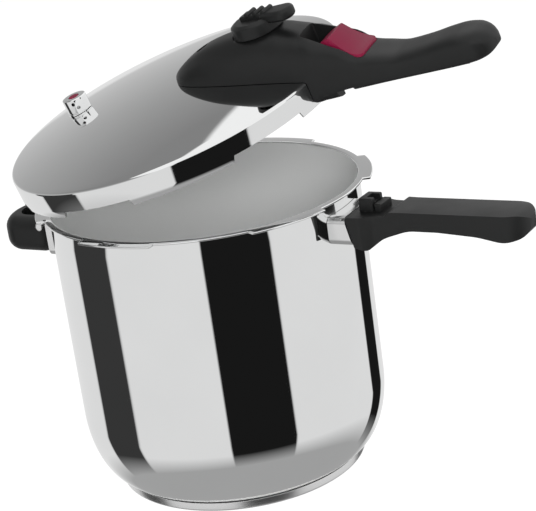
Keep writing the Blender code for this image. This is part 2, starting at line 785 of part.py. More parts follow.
# The lid handle at stations from its nose: x, half width, top above the lid frame, foot above the
# underside of the grip, and how boxy the shoulders are
LID_HANDLE_STATIONS = (
    (0.0, 1.5, 15.5, 20.5, 0.72),
    (4.0, 7.5, 20.0, 20.5, 0.72),
    (12.0, 12.0, 25.0, 20.5, 0.72),
    (23.0, 15.5, 30.0, 20.5, 0.72),
    (36.0, 18.5, 33.8, 19.5, 0.72),
    (50.0, 20.5, 35.8, 18.5, 0.72),
    (64.0, 21.6, 36.8, 16.5, 0.72),
    (80.0, 22.0, 36.4, 14.5, 0.72),
    (94.0, 22.0, 34.6, 8.5, 0.72),
    (105.0, 22.0, 31.0, -2.9, 0.68),
    (116.0, 21.8, 26.0, -2.9, 0.62),
    (127.0, 21.0, 20.6, -2.7, 0.55),
    (138.0, 19.8, 15.6, -0.1, 0.48),
    (148.0, 18.6, 7.2, 0.0, 0.44),
    (160.0, 17.6, 4.2, 0.0, 0.46),
    (174.0, 17.0, 1.6, 0.0, 0.50),
    (190.0, 17.0, 2.4, 0.0, 0.52),
    (206.0, 17.0, 4.2, 0.0, 0.52),
    (216.0, 16.8, 4.9, 0.1, 0.54),
    (225.0, 15.4, 4.2, 0.4, 0.58),
    (231.0, 12.6, 2.2, 1.2, 0.64),
    (235.5, 8.0, -1.6, 3.2, 0.70),
    (237.5, 2.4, -5.2, 6.3, 0.70),
)


def lid_handle_ring(x, half, top, foot, crown):
    """A crowned section: full at the sides, rounder on top, nearly flat under the foot."""
    middle = foot + 0.42 * (top - foot)
    points = []
    count = 20
    for i in range(count):
        angle = 2 * math.pi * i / count
        across, up = math.cos(angle), math.sin(angle)
        power = crown if up >= 0 else 0.34
        y = half * math.copysign(abs(across) ** power, across)
        rise = (top - middle) if up >= 0 else (middle - foot)
        points.append((x, y, middle + rise * math.copysign(abs(up) ** power, up)))
    return points


def lid_handle():
    span = (LID_HANDLE_END - NOSE_X) / LID_HANDLE_STATIONS[-1][0]
    rings = [
        lid_handle_ring(NOSE_X + x * span, half * MM, top * MM, LID_GRIP_BOTTOM + foot * MM, crown)
        for x, half, top, foot, crown in LID_HANDLE_STATIONS
    ]
    made = loft("lid_handle", rings, BAKELITE, LID)
    smooth(made, 50)
    catch_room = sector(
        "catch_room", CATCH_START - 1.5 * MM, SILL_END + 2.5 * MM, -40 * MM,
        CATCH_TOP - SEATED + 0.6 * MM, -4.8, 16, home=LID,
    )
    notch = box(
        "grip_notch", (SILL_END - 3 * MM, GRIP_START + 1 * MM), (-40 * MM, 40 * MM),
        (-30 * MM, LID_GRIP_BOTTOM + 3.2 * MM), home=LID,
    )
    pit_plan = button_plan(BUTTON_START - BOLT_TRAVEL - 0.6 * MM, BOLT_TRAVEL, 0.5 * MM)
    pit = prism("button_pit", [(x, y, BUTTON_FLOOR - FIT) for x, y in pit_plan], (0, 0, 60 * MM), home=LID)
    stem_slot = box(
        "bolt_slot", (STEM_START - BOLT_TRAVEL - 1 * MM, SPRING_START + 5 * MM),
        (-BOLT_HALF - 0.7 * MM, BOLT_HALF + 0.7 * MM), (-30 * MM, BUTTON_FLOOR + 1 * MM), home=LID,
    )
    spring_room = box(
        "spring_room", (SPRING_START, SPRING_END), (-9 * MM, 9 * MM), (-30 * MM, -3.5 * MM), home=LID
    )
    cover_room = box(
        "cover_room", (COVER_START - FIT, COVER_END + FIT), (-COVER_HALF - FIT, COVER_HALF + FIT),
        (-30 * MM, COVER_LOW + COVER_THICK + FIT), home=LID,
    )
    cover_hole = rod(
        "cover_screw_hole", SMALL_SCREW_RADIUS + FIT, (COVER_SCREW_X, 0, -30 * MM),
        (COVER_SCREW_X, 0, COVER_SCREW_TIP + 0.8 * MM), home=LID,
    )
    above = 2 * KNOB_BASE
    knob_bore = rod(
        "knob_bore", KNOB_STEM + 0.6 * MM, (KNOB_X, 0, 0), (KNOB_X, 0, above), home=LID, steps=32
    )
    knob_seat = rod(
        "knob_seat", KNOB_RADIUS + 1 * MM, (KNOB_X, 0, KNOB_BASE - FIT), (KNOB_X, 0, above), home=LID, steps=40
    )
    window = rod(
        "window", 4.5 * MM, (INDICATOR_X, 0, WINDOW_FLOOR), (INDICATOR_X, 0, above), home=LID
    )
    pin_bore = rod(
        "pin_bore", INDICATOR_RADIUS + 0.4 * MM, (INDICATOR_X, 0, 0), (INDICATOR_X, 0, above), home=LID
    )
    collar_bore = rod(
        "collar_bore", COLLAR_RADIUS + 0.5 * MM, (INDICATOR_X, 0, 0),
        (INDICATOR_X, 0, COLLAR_TOP + INDICATOR_LIFT + 0.8 * MM), home=LID,
    )
    screws = [
        rod(
            f"handle_screw_bore_{side}", SCREW_RADIUS + FIT, (HANDLE_SCREW_X, y, 0),
            (HANDLE_SCREW_X, y, HANDLE_SCREW_TIP + 0.5 * MM), home=LID,
        )
        for side, y in (("a", HANDLE_SCREW_Y), ("b", -HANDLE_SCREW_Y))
    ]
    cut(
        made, lid_clearance("lid_room"), catch_room, notch, pit, stem_slot, spring_room, cover_room,
        cover_hole, knob_bore, knob_seat, window, pin_bore, collar_bore, *screws,
    )
    cover = box(
        "lid_handle_cover", (COVER_START, COVER_END), (-COVER_HALF, COVER_HALF),
        (COVER_LOW, COVER_LOW + COVER_THICK), BAKELITE, LID,
    )
    ends = [(COVER_SCREW_X, 0, -30 * MM), (COVER_SCREW_X, 0, 0)]
    cut(cover, rod("cover_hole", SMALL_SCREW_RADIUS + FIT, *ends, home=LID))
    screw(
        "cover_screw", (COVER_SCREW_X, 0.0), COVER_LOW - FIT, COVER_SCREW_TIP, LID,
        SMALL_SCREW_RADIUS, SMALL_SCREW_HEAD, SMALL_SCREW_HEAD_RISE,
    )
    for side, y in (("left", HANDLE_SCREW_Y), ("right", -HANDLE_SCREW_Y)):
        seat = under(math.hypot(HANDLE_SCREW_X + SCREW_HEAD, HANDLE_SCREW_Y)) - FIT
        screw(f"lid_screw_{side}", (HANDLE_SCREW_X, y), seat, HANDLE_SCREW_TIP, LID)


def button_plan(start, travel=0.0, gap=0.0):
    """The slider's outline from above: narrow in front, widening to the sides of the grip."""
    waist, hip = BUTTON_START + 14.5 * MM, BUTTON_START + 27.5 * MM
    half = [
        (start, BUTTON_NOSE_HALF + gap),
        (waist - travel + gap, BUTTON_WAIST_HALF + gap),
        (hip - travel - gap, BUTTON_HALF + gap),
        (BUTTON_END + gap, BUTTON_HALF + gap),
    ]
    return half + [(x, -y) for x, y in reversed(half)]


def lock():
    """The slider on top of the handle, the bolt under it and the bolt's spring."""
    side = [
        (BUTTON_START, BUTTON_FLOOR),
        (BUTTON_START, 17.5 * MM),
        (BUTTON_START + 6 * MM, 20.0 * MM),
        (BUTTON_START + 12 * MM, 21.8 * MM),
        (BUTTON_START + 15 * MM, 20.4 * MM),
        (BUTTON_START + 19 * MM, 15.8 * MM),
        (BUTTON_START + 24 * MM, 11.4 * MM),
        (BUTTON_END - 3 * MM, 8.4 * MM),
        (BUTTON_END, 7.6 * MM),
        (BUTTON_END, BUTTON_FLOOR),
    ]
    button = prism(
        "lock_button", [(x, -20 * MM, z) for x, z in side], (0, 40 * MM, 0), BURGUNDY, LID
    )
    outline = [(x, y, -1 * MM) for x, y in button_plan(BUTTON_START - 1 * MM)]
    plan = prism("lock_button_plan", outline, (0, 0, 40 * MM), home=LID)
    combine(button, "INTERSECT", plan)
    bevel(button, 1.0 * MM, 2, 35)
    bolt_top = BOLT_LOW + BOLT_THICK
    across = (-BOLT_HALF, BOLT_HALF)
    stem = box(
        "button_stem", (STEM_START, STEM_END), across, (bolt_top + FIT, BUTTON_FLOOR + 3 * MM), home=LID
    )
    join(button, stem)
    bolt = box("lock_bolt", (BOLT_START, BOLT_END), across, (BOLT_LOW, bolt_top), SATIN, LID)
    upstand = box(
        "bolt_upstand", (BOLT_END - 2 * MM, BOLT_END + 0.01 * MM), (-6 * MM, 6 * MM),
        (BOLT_LOW - 0.1 * MM, SPRING_MIDDLE + 3 * MM), home=LID,
    )
    join(bolt, upstand)
    coil(
        "lock_spring", SATIN, LID, 2.4 * MM, 0.8 * MM, 6,
        (BOLT_END + FIT, 0, SPRING_MIDDLE), (SPRING_END - FIT, 0, SPRING_MIDDLE),
    )


def hex_nut(name, at, low, high, across, bore, look):
    made = rod(name, across / math.sqrt(3), (*at, low), (*at, high), look, LID, 6)
    return cut(made, rod(name + "_bore", bore, (*at, low - 5 * MM), (*at, high + 5 * MM), home=LID))


def operating_valve():
    """The valve under the selector: body, nut, plunger and spring, and the selector knob."""
    seat = dome(KNOB_X)
    section = [
        (VALVE_BORE, VALVE_FOOT),
        (VALVE_BORE, VALVE_TOP),
        (6.0 * MM, VALVE_TOP),
        (6.8 * MM, VALVE_TOP - 1 * MM),
        (6.8 * MM, seat + 5 * MM),
        (8.4 * MM, seat + 5 * MM),
        (8.4 * MM, seat - 1.8 * MM),
        (VALVE_SHANK, seat - 1.8 * MM),
        (VALVE_SHANK, VALVE_FOOT),
    ]
    body = turned("valve_body", section, BRASS, LID, at=(KNOB_X, 0.0))
    cut(body, flange_room("valve_flange_room", KNOB_X, VALVE_SHANK))
    nut_top = under(KNOB_X + 9.0 * MM) - FIT
    hex_nut("valve_nut", (KNOB_X, 0.0), nut_top - 4 * MM, nut_top, 15 * MM, VALVE_SHANK + FIT, SATIN)
    head = VALVE_TOP + FIT
    plunger = [
        (0.0, head + 5.0 * MM),
        (1.6 * MM, head + 5.0 * MM),
        (1.6 * MM, head + 2.5 * MM),
        (4.4 * MM, head + 2.5 * MM),
        (4.4 * MM, head),
        (VALVE_BORE - 0.5 * MM, head),
        (VALVE_BORE - 0.5 * MM, VALVE_FOOT + 2 * MM),
        (0.0, VALVE_FOOT + 2 * MM),
    ]
    turned("valve_plunger", plunger, SATIN, LID, at=(KNOB_X, 0.0), steps=20)
    coil(
        "valve_spring", SATIN, LID, 3.2 * MM, 0.8 * MM, 4,
        (KNOB_X, 0, head + 2.5 * MM + FIT), (KNOB_X, 0, KNOB_ROOF - FIT),
    )
    stem_low = VALVE_TOP + 1.5 * MM
    knob_section = [
        (0.0, KNOB_ROOF),
        (KNOB_HOLLOW, KNOB_ROOF),
        (KNOB_HOLLOW, stem_low),
        (KNOB_STEM, stem_low),
        (KNOB_STEM, KNOB_BASE),
        (KNOB_RADIUS - 1 * MM, KNOB_BASE),
        (KNOB_RADIUS, KNOB_BASE + 1 * MM),
        (KNOB_RADIUS, KNOB_TOP - 1.5 * MM),
        (KNOB_RADIUS - 1.5 * MM, KNOB_TOP),
        (0.0, KNOB_TOP),
    ]
    knob = turned("selector_knob", knob_section[::-1], BAKELITE, LID, 40, at=(KNOB_X, 0.0))
    lever_top = KNOB_TOP + KNOB_LEVER
    head = 8 * MM
    tail = arc((KNOB_X + KNOB_REACH - head, 0.0), head, -90, 90, 6)
    tail_plan = [(KNOB_X + KNOB_STEM, -0.8 * head)] + tail + [(KNOB_X + KNOB_STEM, 0.8 * head)]
    tail_low = lever_top - KNOB_LEVER_THICK
    outline = [(x, y, tail_low) for x, y in tail_plan]
    pointer = prism("knob_pointer", outline, (0, 0, KNOB_LEVER_THICK), home=LID)
    ridge_half = 5 * MM
    ridge = box(
        "knob_ridge", (KNOB_X - 8 * MM, KNOB_X + KNOB_STEM + 1 * MM), (-ridge_half, ridge_half),
        (KNOB_TOP - 1 * MM, lever_top - 0.1 * MM), home=LID,
    )
    for tool in (pointer, ridge):
        turn_about(tool, KNOB_X, KNOB_POINTER)
        join(knob, tool)
    for i in range(3):
        x = KNOB_X + (7 * i - 1) * MM
        tooth = rod(
            f"knob_tooth_{i + 1}", 1.8 * MM, (x, -ridge_half - 0.2 * MM, lever_top),
            (x, ridge_half + 0.2 * MM, lever_top), home=LID, steps=10,
        )
        turn_about(tooth, KNOB_X, KNOB_POINTER)
        join(knob, tooth)


def turn_about(made, x, degrees):
    """Turns an object's mesh about a vertical line through (x, 0)."""
    centre = Matrix.Translation((x, 0, 0))
    made.data.transform(centre @ Matrix.Rotation(math.radians(degrees), 4, "Z") @ centre.inverted())


def flange_room(name, x, shank):
    """The space that the lid's sheet fills around a shank, so that a flange lies on the dome."""
    made = lid_clearance(name)
    ends = [(x, 0, -3 * SKIRT_DEPTH), (x, 0, 2 * DOME_RISE)]
    return cut(made, rod(name + "_core", shank + 0.01 * MM, *ends, home=LID))


def indicator():
    """The pin that rises when the cooker is under pressure, with its seal under the lid."""
    seat = dome(INDICATOR_X - COLLAR_RADIUS) + FIT
    head_top = under(INDICATOR_X + 5 * MM) - INDICATOR_LIFT - 2.2 * MM
    section = [
        (0.0, INDICATOR_TOP),
        (INDICATOR_RADIUS - 0.6 * MM, INDICATOR_TOP),
        (INDICATOR_RADIUS, INDICATOR_TOP - 0.6 * MM),
        (INDICATOR_RADIUS, COLLAR_TOP),
        (COLLAR_RADIUS, COLLAR_TOP),
        (COLLAR_RADIUS, seat),
        (INDICATOR_RADIUS, seat),
        (INDICATOR_RADIUS, head_top),
        (4.6 * MM, head_top),
        (4.6 * MM, head_top - 1.8 * MM),
        (0.0, head_top - 1.8 * MM),
    ]
    turned("indicator_pin", section, BURGUNDY, LID, at=(INDICATOR_X, 0.0), steps=20)
    seal = [
        (INDICATOR_RADIUS + FIT, head_top + FIT),
        (INDICATOR_RADIUS + FIT, head_top + 1.8 * MM),
        (5.0 * MM, head_top + 1.8 * MM),
        (5.4 * MM, head_top + FIT),
    ]
    turned("indicator_seal", seal, SILICONE, LID, at=(INDICATOR_X, 0.0), steps=20)


def safety_valve():
    """The overpressure valve: drilled body, nut, sprung stem and its button."""
    seat = dome(-SAFETY_X)
    floor = seat + 3.8 * MM
    roof = SAFETY_TOP - 1.3 * MM
    section = [
        (2.6 * MM, SAFETY_FOOT),
        (2.6 * MM, floor),
        (6.6 * MM, floor),
        (6.6 * MM, roof),
        (4.2 * MM, roof),
        (4.2 * MM, SAFETY_TOP),
        (SAFETY_RADIUS - 0.7 * MM, SAFETY_TOP),
        (SAFETY_RADIUS, SAFETY_TOP - 0.7 * MM),
        (SAFETY_RADIUS, seat - 1.8 * MM),
        (SAFETY_SHANK, seat - 1.8 * MM),
        (SAFETY_SHANK, SAFETY_FOOT),
    ]
    at = (SAFETY_X, 0.0)
    body = turned("safety_body", section, STEEL, LID, at=at)
    cut(body, flange_room("safety_flange_room", SAFETY_X, SAFETY_SHANK))
    for i, (heading, height) in enumerate(((-68, 5.0), (-50, 1.6), (112, 5.0))):
        along = Vector((math.cos(math.radians(heading)), math.sin(math.radians(heading)), 0.0))
        start = Vector((*at, floor + height * MM))
        ends = [start + along * 5 * MM, start + along * 12 * MM]
        cut(body, rod(f"vent_hole_{i + 1}", 1.3 * MM, *ends, home=LID, steps=12))
    nut_top = under(-SAFETY_X + 8.0 * MM) - FIT
    hex_nut("safety_nut", at, nut_top - 4 * MM, nut_top, 14 * MM, SAFETY_SHANK + FIT, SATIN)
    head = floor + FIT
    stem = [
        (0.0, roof - 1.0 * MM),
        (2.2 * MM, roof - 1.0 * MM),
        (2.2 * MM, head + 1.5 * MM),
        (5.8 * MM, head + 1.5 * MM),
        (5.8 * MM, head),
        (2.2 * MM, head),
        (2.2 * MM, SAFETY_FOOT + 1 * MM),
        (0.0, SAFETY_FOOT + 1 * MM),
    ]
    turned("safety_stem", stem, SATIN, LID, at=at, steps=20)
    coil(
        "safety_spring", SATIN, LID, 5.2 * MM, 0.7 * MM, 3,
        (*at, head + 1.5 * MM + FIT), (*at, roof - FIT),
    )
    button = [
        (0.0, SAFETY_TOP + 0.4 * MM),
        (3.1 * MM, SAFETY_TOP + 0.4 * MM),
        (3.7 * MM, SAFETY_TOP - 0.2 * MM),
        (3.7 * MM, roof - 1.0 * MM + FIT),
        (0.0, roof - 1.0 * MM + FIT),
    ]
    turned("safety_button", button, BURGUNDY, LID, at=at, steps=20)


def main():
    pot_body()
    base()
    pot_handle()
    helper_handle()
    lid_shell()
    gasket()
    lid_handle()
    lock()
    operating_valve()
    indicator()
    safety_valve()


main()
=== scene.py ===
"""Looks of a tall stovetop pressure cooker whose lid is held open above its pot.

Metres, +Z up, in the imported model's frame. The pot's pieces stand on the origin. The lid's pieces are
made in the lid's own frame, whose origin is the middle of the plane where the dome turns down into the
skirt and whose +X runs along the lid handle, and each mesh is then carried to its place.
"""

import json
import logging
import math
from collections.abc import Callable, Iterable, Sequence
from dataclasses import dataclass
from enum import Enum
from functools import cached_property

import bmesh
import bpy
from mathutils import Matrix, Vector


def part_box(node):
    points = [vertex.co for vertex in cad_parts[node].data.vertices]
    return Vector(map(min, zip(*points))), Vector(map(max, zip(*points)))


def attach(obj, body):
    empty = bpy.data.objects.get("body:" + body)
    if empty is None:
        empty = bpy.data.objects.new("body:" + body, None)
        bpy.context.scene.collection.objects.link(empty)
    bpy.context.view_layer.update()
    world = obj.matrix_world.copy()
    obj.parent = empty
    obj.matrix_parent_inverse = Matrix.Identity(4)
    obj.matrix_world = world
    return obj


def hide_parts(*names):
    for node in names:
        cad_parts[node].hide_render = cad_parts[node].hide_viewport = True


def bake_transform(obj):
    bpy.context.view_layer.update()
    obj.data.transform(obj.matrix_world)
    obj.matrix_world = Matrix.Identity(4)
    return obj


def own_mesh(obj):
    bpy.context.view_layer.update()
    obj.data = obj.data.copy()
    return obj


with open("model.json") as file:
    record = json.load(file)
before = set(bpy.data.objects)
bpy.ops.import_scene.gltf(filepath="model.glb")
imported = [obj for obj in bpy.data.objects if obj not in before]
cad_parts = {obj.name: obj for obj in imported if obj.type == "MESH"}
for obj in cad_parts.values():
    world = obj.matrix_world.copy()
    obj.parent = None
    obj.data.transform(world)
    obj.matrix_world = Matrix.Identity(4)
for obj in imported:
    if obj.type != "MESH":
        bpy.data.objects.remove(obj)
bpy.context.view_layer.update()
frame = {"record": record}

MM = 0.001
FIT = 0.3 * MM
LOG = logging.getLogger("pressure_cooker")

Point = tuple[float, float]
Spot = tuple[float, float, float]
Shape = bmesh.types.BMesh
Socket = bpy.types.NodeSocket


class Body(Enum):
    """The bodies that pieces ride on."""

    POT = "pot"
    SEAL = "seal"
    LID = "lid"
    SELECTOR = "selector"
    PLUNGER = "plunger"
    INDICATOR = "indicator"
    LOCK = "lock"
    RELIEF = "relief"


class Slot(Enum):
    """The record's material slots."""

    MIRROR = "mirror_steel"
    SATIN = "satin_steel"
    ALUMINIUM = "aluminium"
    BRASS = "brass"
    BAKELITE = "bakelite"
    BURGUNDY = "burgundy"
    SILICONE = "silicone"


# ---------------------------------------------------------------- places and shared sizes


def joint(name: str) -> dict:
    """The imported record's entry for a joint.

    Args:
        name: The joint's name.

    Returns:
        Its dictionary, with pos_m and axis.
    """
    return next(entry for entry in frame["record"]["behaviour"]["joints"] if entry["name"] == name)


def lid_place() -> Matrix:
    """The lid's own frame, from the line it turns on and the line its lock slides along.

    Returns:
        The matrix that carries the lid's frame to the model's.
    """
    turn = joint("lid_turn")
    up = Vector(turn["axis"]).normalized()
    along = Vector(joint("lock_slide")["axis"]).normalized()
    across = up.cross(along)
    turned = Matrix((along, across, up)).transposed().to_4x4()
    return Matrix.Translation(Vector(turn["pos_m"])) @ turned


POT_PLACE = Matrix.Identity(4)
LID_PLACE = lid_place()


@dataclass(frozen=True)
class Cooker:
    """Sizes that several sub-assemblies share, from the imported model's own boxes."""

    tab_reach: float = 9.6 * MM
    rim_reach: float = 4.5 * MM
    rim_thick: float = 1.4 * MM
    seat: float = 9.0 * MM
    lid_gap: float = 2.2 * MM
    sheet: float = 1.2 * MM
    dome_rise: float = 12.7 * MM
    knuckle: float = 2.0 * MM
    lug_heading: float = 30.0
    lug_count: int = 6
    steps: int = 480

    @cached_property
    def height(self) -> float:
        """Height of the rim."""
        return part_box("pot_body")[1].z

    @cached_property
    def radius(self) -> float:
        """Outer radius of the pot's wall."""
        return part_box("pot_body")[1].y - self.tab_reach

    @cached_property
    def base_radius(self) -> float:
        """Radius of the sandwich base."""
        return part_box("base_cap")[1].x

    @cached_property
    def lid_radius(self) -> float:
        """Outer radius of the lid's skirt."""
        return self.radius + self.tab_reach + self.lid_gap + self.sheet

    def dome(self, radius: float) -> float:
        """Height of the lid's outer face above the lid's frame, at a distance from its middle."""
        ball = (self.lid_radius**2 + self.dome_rise**2) / (2 * self.dome_rise)
        return self.dome_rise - ball + math.sqrt(ball**2 - radius**2)

    def under(self, radius: float) -> float:
        """Height of the lid's inner face."""
        return self.dome(radius) - self.sheet

    def near_lug(self, spot: Vector, span: float) -> bool:
        """Whether a point lies within a span in degrees about one of the six lugs or tabs."""
        pitch = 360 / self.lug_count
        heading = math.degrees(math.atan2(spot.y, spot.x)) - self.lug_heading
        return abs((heading + pitch / 2) % pitch - pitch / 2) < span / 2 + 0.01


COOKER = Cooker()


# ---------------------------------------------------------------- outlines


def arc(
    centre: Point, radius: float, start: float, end: float, steps: int, rise: float = 0.0
) -> list[Point]:
    """Points along a circle or an upright ellipse.

    Args:
        centre: Its middle.
        radius: Its radius, or its half width.
        start: First angle in degrees.
        end: Last angle in degrees.
        steps: Number of steps between them.
        rise: Its half height, if it isn't a circle.

    Returns:
        The points, from start to end.
    """
    rise = rise or radius
    turns = [math.radians(start + (end - start) * i / steps) for i in range(steps + 1)]
    return [(centre[0] + radius * math.cos(turn), centre[1] + rise * math.sin(turn)) for turn in turns]


def softened(
    corners: Sequence[Sequence[float]], radius: float = 0.0, closed: bool = True, steps: int = 4
) -> list[Point]:
    """An outline with its corners rounded.

    Args:
        corners: Its corners, each with a third value where its rounding differs from radius.
        radius: The rounding.
        closed: Whether the last corner joins the first.
        steps: Number of steps in each rounding.

    Returns:
        The points of the rounded outline.
    """
    line = []
    for i, corner in enumerate(corners):
        here = Vector(corner[:2])
        bend = corner[2] if len(corner) > 2 else radius
        before = Vector(corners[i - 1][:2]) - here
        after = Vector(corners[(i + 1) % len(corners)][:2]) - here
        if bend == 0 or (not closed and i in (0, len(corners) - 1)):
            line.append(tuple(here))
            continue
        run = bend / math.tan(before.angle(after) / 2)
        start = here + before.normalized() * min(run, 0.49 * before.length)
        end = here + after.normalized() * min(run, 0.49 * after.length)
        for step in range(steps + 1):
            share = step / steps
            line.append(tuple(start.lerp(here, share).lerp(here.lerp(end, share), share)))
    return line


def flowing(stations: Sequence[Sequence[float]], count: int) -> list[tuple[float, ...]]:
    """Rows of values that change smoothly and never overshoot between the given rows.

    Args:
        stations: Rows whose first value is the position along the piece.
        count: Number of steps in the result.

    Returns:
        Rows at even positions from the first to the last.
    """
    places = [row[0] for row in stations]
    runs = [b - a for a, b in zip(places, places[1:])]
    columns = []
    for column in list(zip(*stations))[1:]:
        slopes = [(b - a) / run for a, b, run in zip(column, column[1:], runs)]
        bends = [slopes[0]]
        for before, after in zip(slopes, slopes[1:]):
            bends.append(0.0 if before * after <= 0 else 2 * before * after / (before + after))
        columns.append((column, bends + [slopes[-1]]))
    rows = []
    for step in range(count + 1):
        share = step / count
        # more rows near the two ends, where the shape closes
        place = places[0] + (places[-1] - places[0]) * (0.5 - 0.5 * math.cos(math.pi * share))
        i = min(max(sum(1 for edge in places if edge <= place) - 1, 0), len(runs) - 1)
        t = (place - places[i]) / runs[i]
        row = [place]
        for column, bends in columns:
            row.append(
                (2 * t**3 - 3 * t**2 + 1) * column[i]
                + (t**3 - 2 * t**2 + t) * runs[i] * bends[i]
                + (3 * t**2 - 2 * t**3) * column[i + 1]
                + (t**3 - t**2) * runs[i] * bends[i + 1]
            )
        rows.append(tuple(row))
    return rows


# ---------------------------------------------------------------- shapes


def turned(section: Sequence[Point], steps: int, at: Point = (0.0, 0.0)) -> Shape:
    """A section turned about an upright line.

    Args:
        section: (distance, height) points, round the section, or from the line and back to it.
        steps: Number of steps in a full turn.
        at: Where the line stands.

    Returns:
        The closed shape.
    """
    shape = bmesh.new()
    points = [shape.verts.new((radius, 0.0, height)) for radius, height in section]
    ends = list(zip(points, points[1:]))
    if section[0][0] > 0.0:
        ends.append((points[-1], points[0]))
    edges = [shape.edges.new(pair) for pair in ends]
    bmesh.ops.spin(
        shape, geom=points + edges, cent=(0, 0, 0), axis=(0, 0, 1), angle=2 * math.pi, steps=steps,
        use_merge=True
    )
    bmesh.ops.remove_doubles(shape, verts=shape.verts[:], dist=1e-6)
    bmesh.ops.recalc_face_normals(shape, faces=shape.faces[:])
    bmesh.ops.translate(shape, vec=(*at, 0.0), verts=shape.verts[:])
    return shape


def lofted(rings: Sequence[Sequence[Spot]]) -> Shape:
    """A skin bridged over rings of equally many points, closed at both ends.

    Args:
        rings: The rings, from one end to the other.

    Returns:
        The closed shape.
    """
    shape = bmesh.new()
    rows = []
    for ring in rings:
        points = [shape.verts.new(spot) for spot in ring]
        rows.append([shape.edges.new((a, b)) for a, b in zip(points, points[1:] + points[:1])])
    for here, there in zip(rows, rows[1:]):
        bmesh.ops.bridge_loops(shape, edges=here + there)
    for row in (rows[0], rows[-1]):
        bmesh.ops.contextual_create(shape, geom=row)
    bmesh.ops.recalc_face_normals(shape, faces=shape.faces[:])
    return shape


def slab(outline: Sequence[Spot], push: Spot) -> Shape:
    """A flat outline pushed along a direction.

    Args:
        outline: The corners in order.
        push: How far and which way.

    Returns:
        The closed shape.
    """
    shape = bmesh.new()
    face = shape.faces.new([shape.verts.new(spot) for spot in outline])
    grown = bmesh.ops.extrude_face_region(shape, geom=[face])["geom"]
    bmesh.ops.translate(
        shape, vec=push, verts=[item for item in grown if isinstance(item, bmesh.types.BMVert)]
    )
    bmesh.ops.recalc_face_normals(shape, faces=shape.faces[:])
    return shape


def bar(x: Point, y: Point, z: Point) -> Shape:
    """A block between two values on each axis."""
    shape = bmesh.new()
    bmesh.ops.create_cube(shape, size=1.0)
    bmesh.ops.scale(shape, vec=(x[1] - x[0], y[1] - y[0], z[1] - z[0]), verts=shape.verts[:])
    bmesh.ops.translate(shape, vec=(sum(x) / 2, sum(y) / 2, sum(z) / 2), verts=shape.verts[:])
    return shape


def rod(radius: float, start: Spot, end: Spot, steps: int = 48) -> Shape:
    """A plain rod from one point to another.

    Args:
        radius: Its radius.
        start: The middle of one end.
        end: The middle of the other end.
        steps: Number of sides.

    Returns:
        The closed shape.
    """
    run = Vector(end) - Vector(start)
    shape = bmesh.new()
    bmesh.ops.create_cone(
        shape, cap_ends=True, segments=steps, radius1=radius, radius2=radius, depth=run.length
    )
    bmesh.ops.rotate(shape, matrix=run.to_track_quat("Z", "Y").to_matrix(), verts=shape.verts[:])
    bmesh.ops.translate(shape, vec=(Vector(start) + Vector(end)) / 2, verts=shape.verts[:])
    return shape


def sector(
    inner: float, outer: float, low: float, high: float, start: float, end: float, steps: int = 24
) -> Shape:
    """A piece of a flat ring between two headings in degrees.

    Args:
        inner: Its inner radius.
        outer: Its outer radius.
        low: Its lower face.
        high: Its upper face.
        start: Its first heading.
        end: Its last heading.
        steps: Number of steps along it.

    Returns:
        The closed shape.
    """
    rings = []
    for heading in [math.radians(start + (end - start) * i / steps) for i in range(steps + 1)]:
        corners = ((inner, low), (outer, low), (outer, high), (inner, high))
        rings.append([(r * math.cos(heading), r * math.sin(heading), z) for r, z in corners])
    return lofted(rings)


def coiled(radius: float, wire: float, turns: float, start: Spot, end: Spot) -> Shape:
    """A spring of round wire between two points, with its two ends closed flat.

    Args:
        radius: From the spring's line to the middle of its wire.
        wire: Thickness of the wire.
        turns: Number of turns.
        start: One end.
        end: The other end.

    Returns:
        The closed shape.
    """
    run = Vector(end) - Vector(start)
    shape = bmesh.new()
    ring = bmesh.ops.create_circle(shape, segments=12, radius=wire / 2, cap_ends=True)["verts"]
    bmesh.ops.rotate(shape, matrix=Matrix.Rotation(math.pi / 2, 3, "X"), verts=ring)
    bmesh.ops.translate(shape, vec=(radius, 0, wire / 2), verts=ring)
    steps = int(turns * 28)
    rise = (run.length - wire) / steps
    bmesh.ops.spin(
        shape, geom=shape.verts[:] + shape.edges[:] + shape.faces[:], cent=(0, 0, 0), axis=(0, 0, 1),
        dvec=(0, 0, rise), angle=2 * math.pi * turns, steps=steps, use_merge=False,
    )
    bmesh.ops.rotate(shape, matrix=run.to_track_quat("Z", "Y").to_matrix(), verts=shape.verts[:])
    bmesh.ops.translate(shape, vec=start, verts=shape.verts[:])
    bmesh.ops.recalc_face_normals(shape, faces=shape.faces[:])
    return shape


def swung(shape: Shape, x: float, degrees: float) -> Shape:
    """A shape turned about an upright line through (x, 0)."""
    turn = Matrix.Rotation(math.radians(degrees), 3, "Z")
    bmesh.ops.rotate(shape, cent=(x, 0, 0), matrix=turn, verts=shape.verts[:])
    return shape


def rounded(shape: Shape, width: float, segments: int = 3, angle: float = 35.0) -> Shape:
    """A shape with its sharp edges rounded.

    Args:
        shape: The shape, which is changed.
        width: Width of the rounding.
        segments: Number of steps in it.
        angle: Least angle in degrees of an edge that is rounded.

    Returns:
        The same shape.
    """
    bmesh.ops.remove_doubles(shape, verts=shape.verts[:], dist=1e-6)
    bmesh.ops.dissolve_limit(
        shape, angle_limit=math.radians(0.5), verts=shape.verts[:], edges=shape.edges[:]
    )
    sharp = [
        edge for edge in shape.edges
        if len(edge.link_faces) == 2 and edge.calc_face_angle(0.0) > math.radians(angle)
    ]
    bmesh.ops.bevel(
        shape, geom=sharp, offset=width, offset_type="OFFSET", affect="EDGES", segments=segments,
        profile=0.5, material=-1, clamp_overlap=True,
    )
    return shape


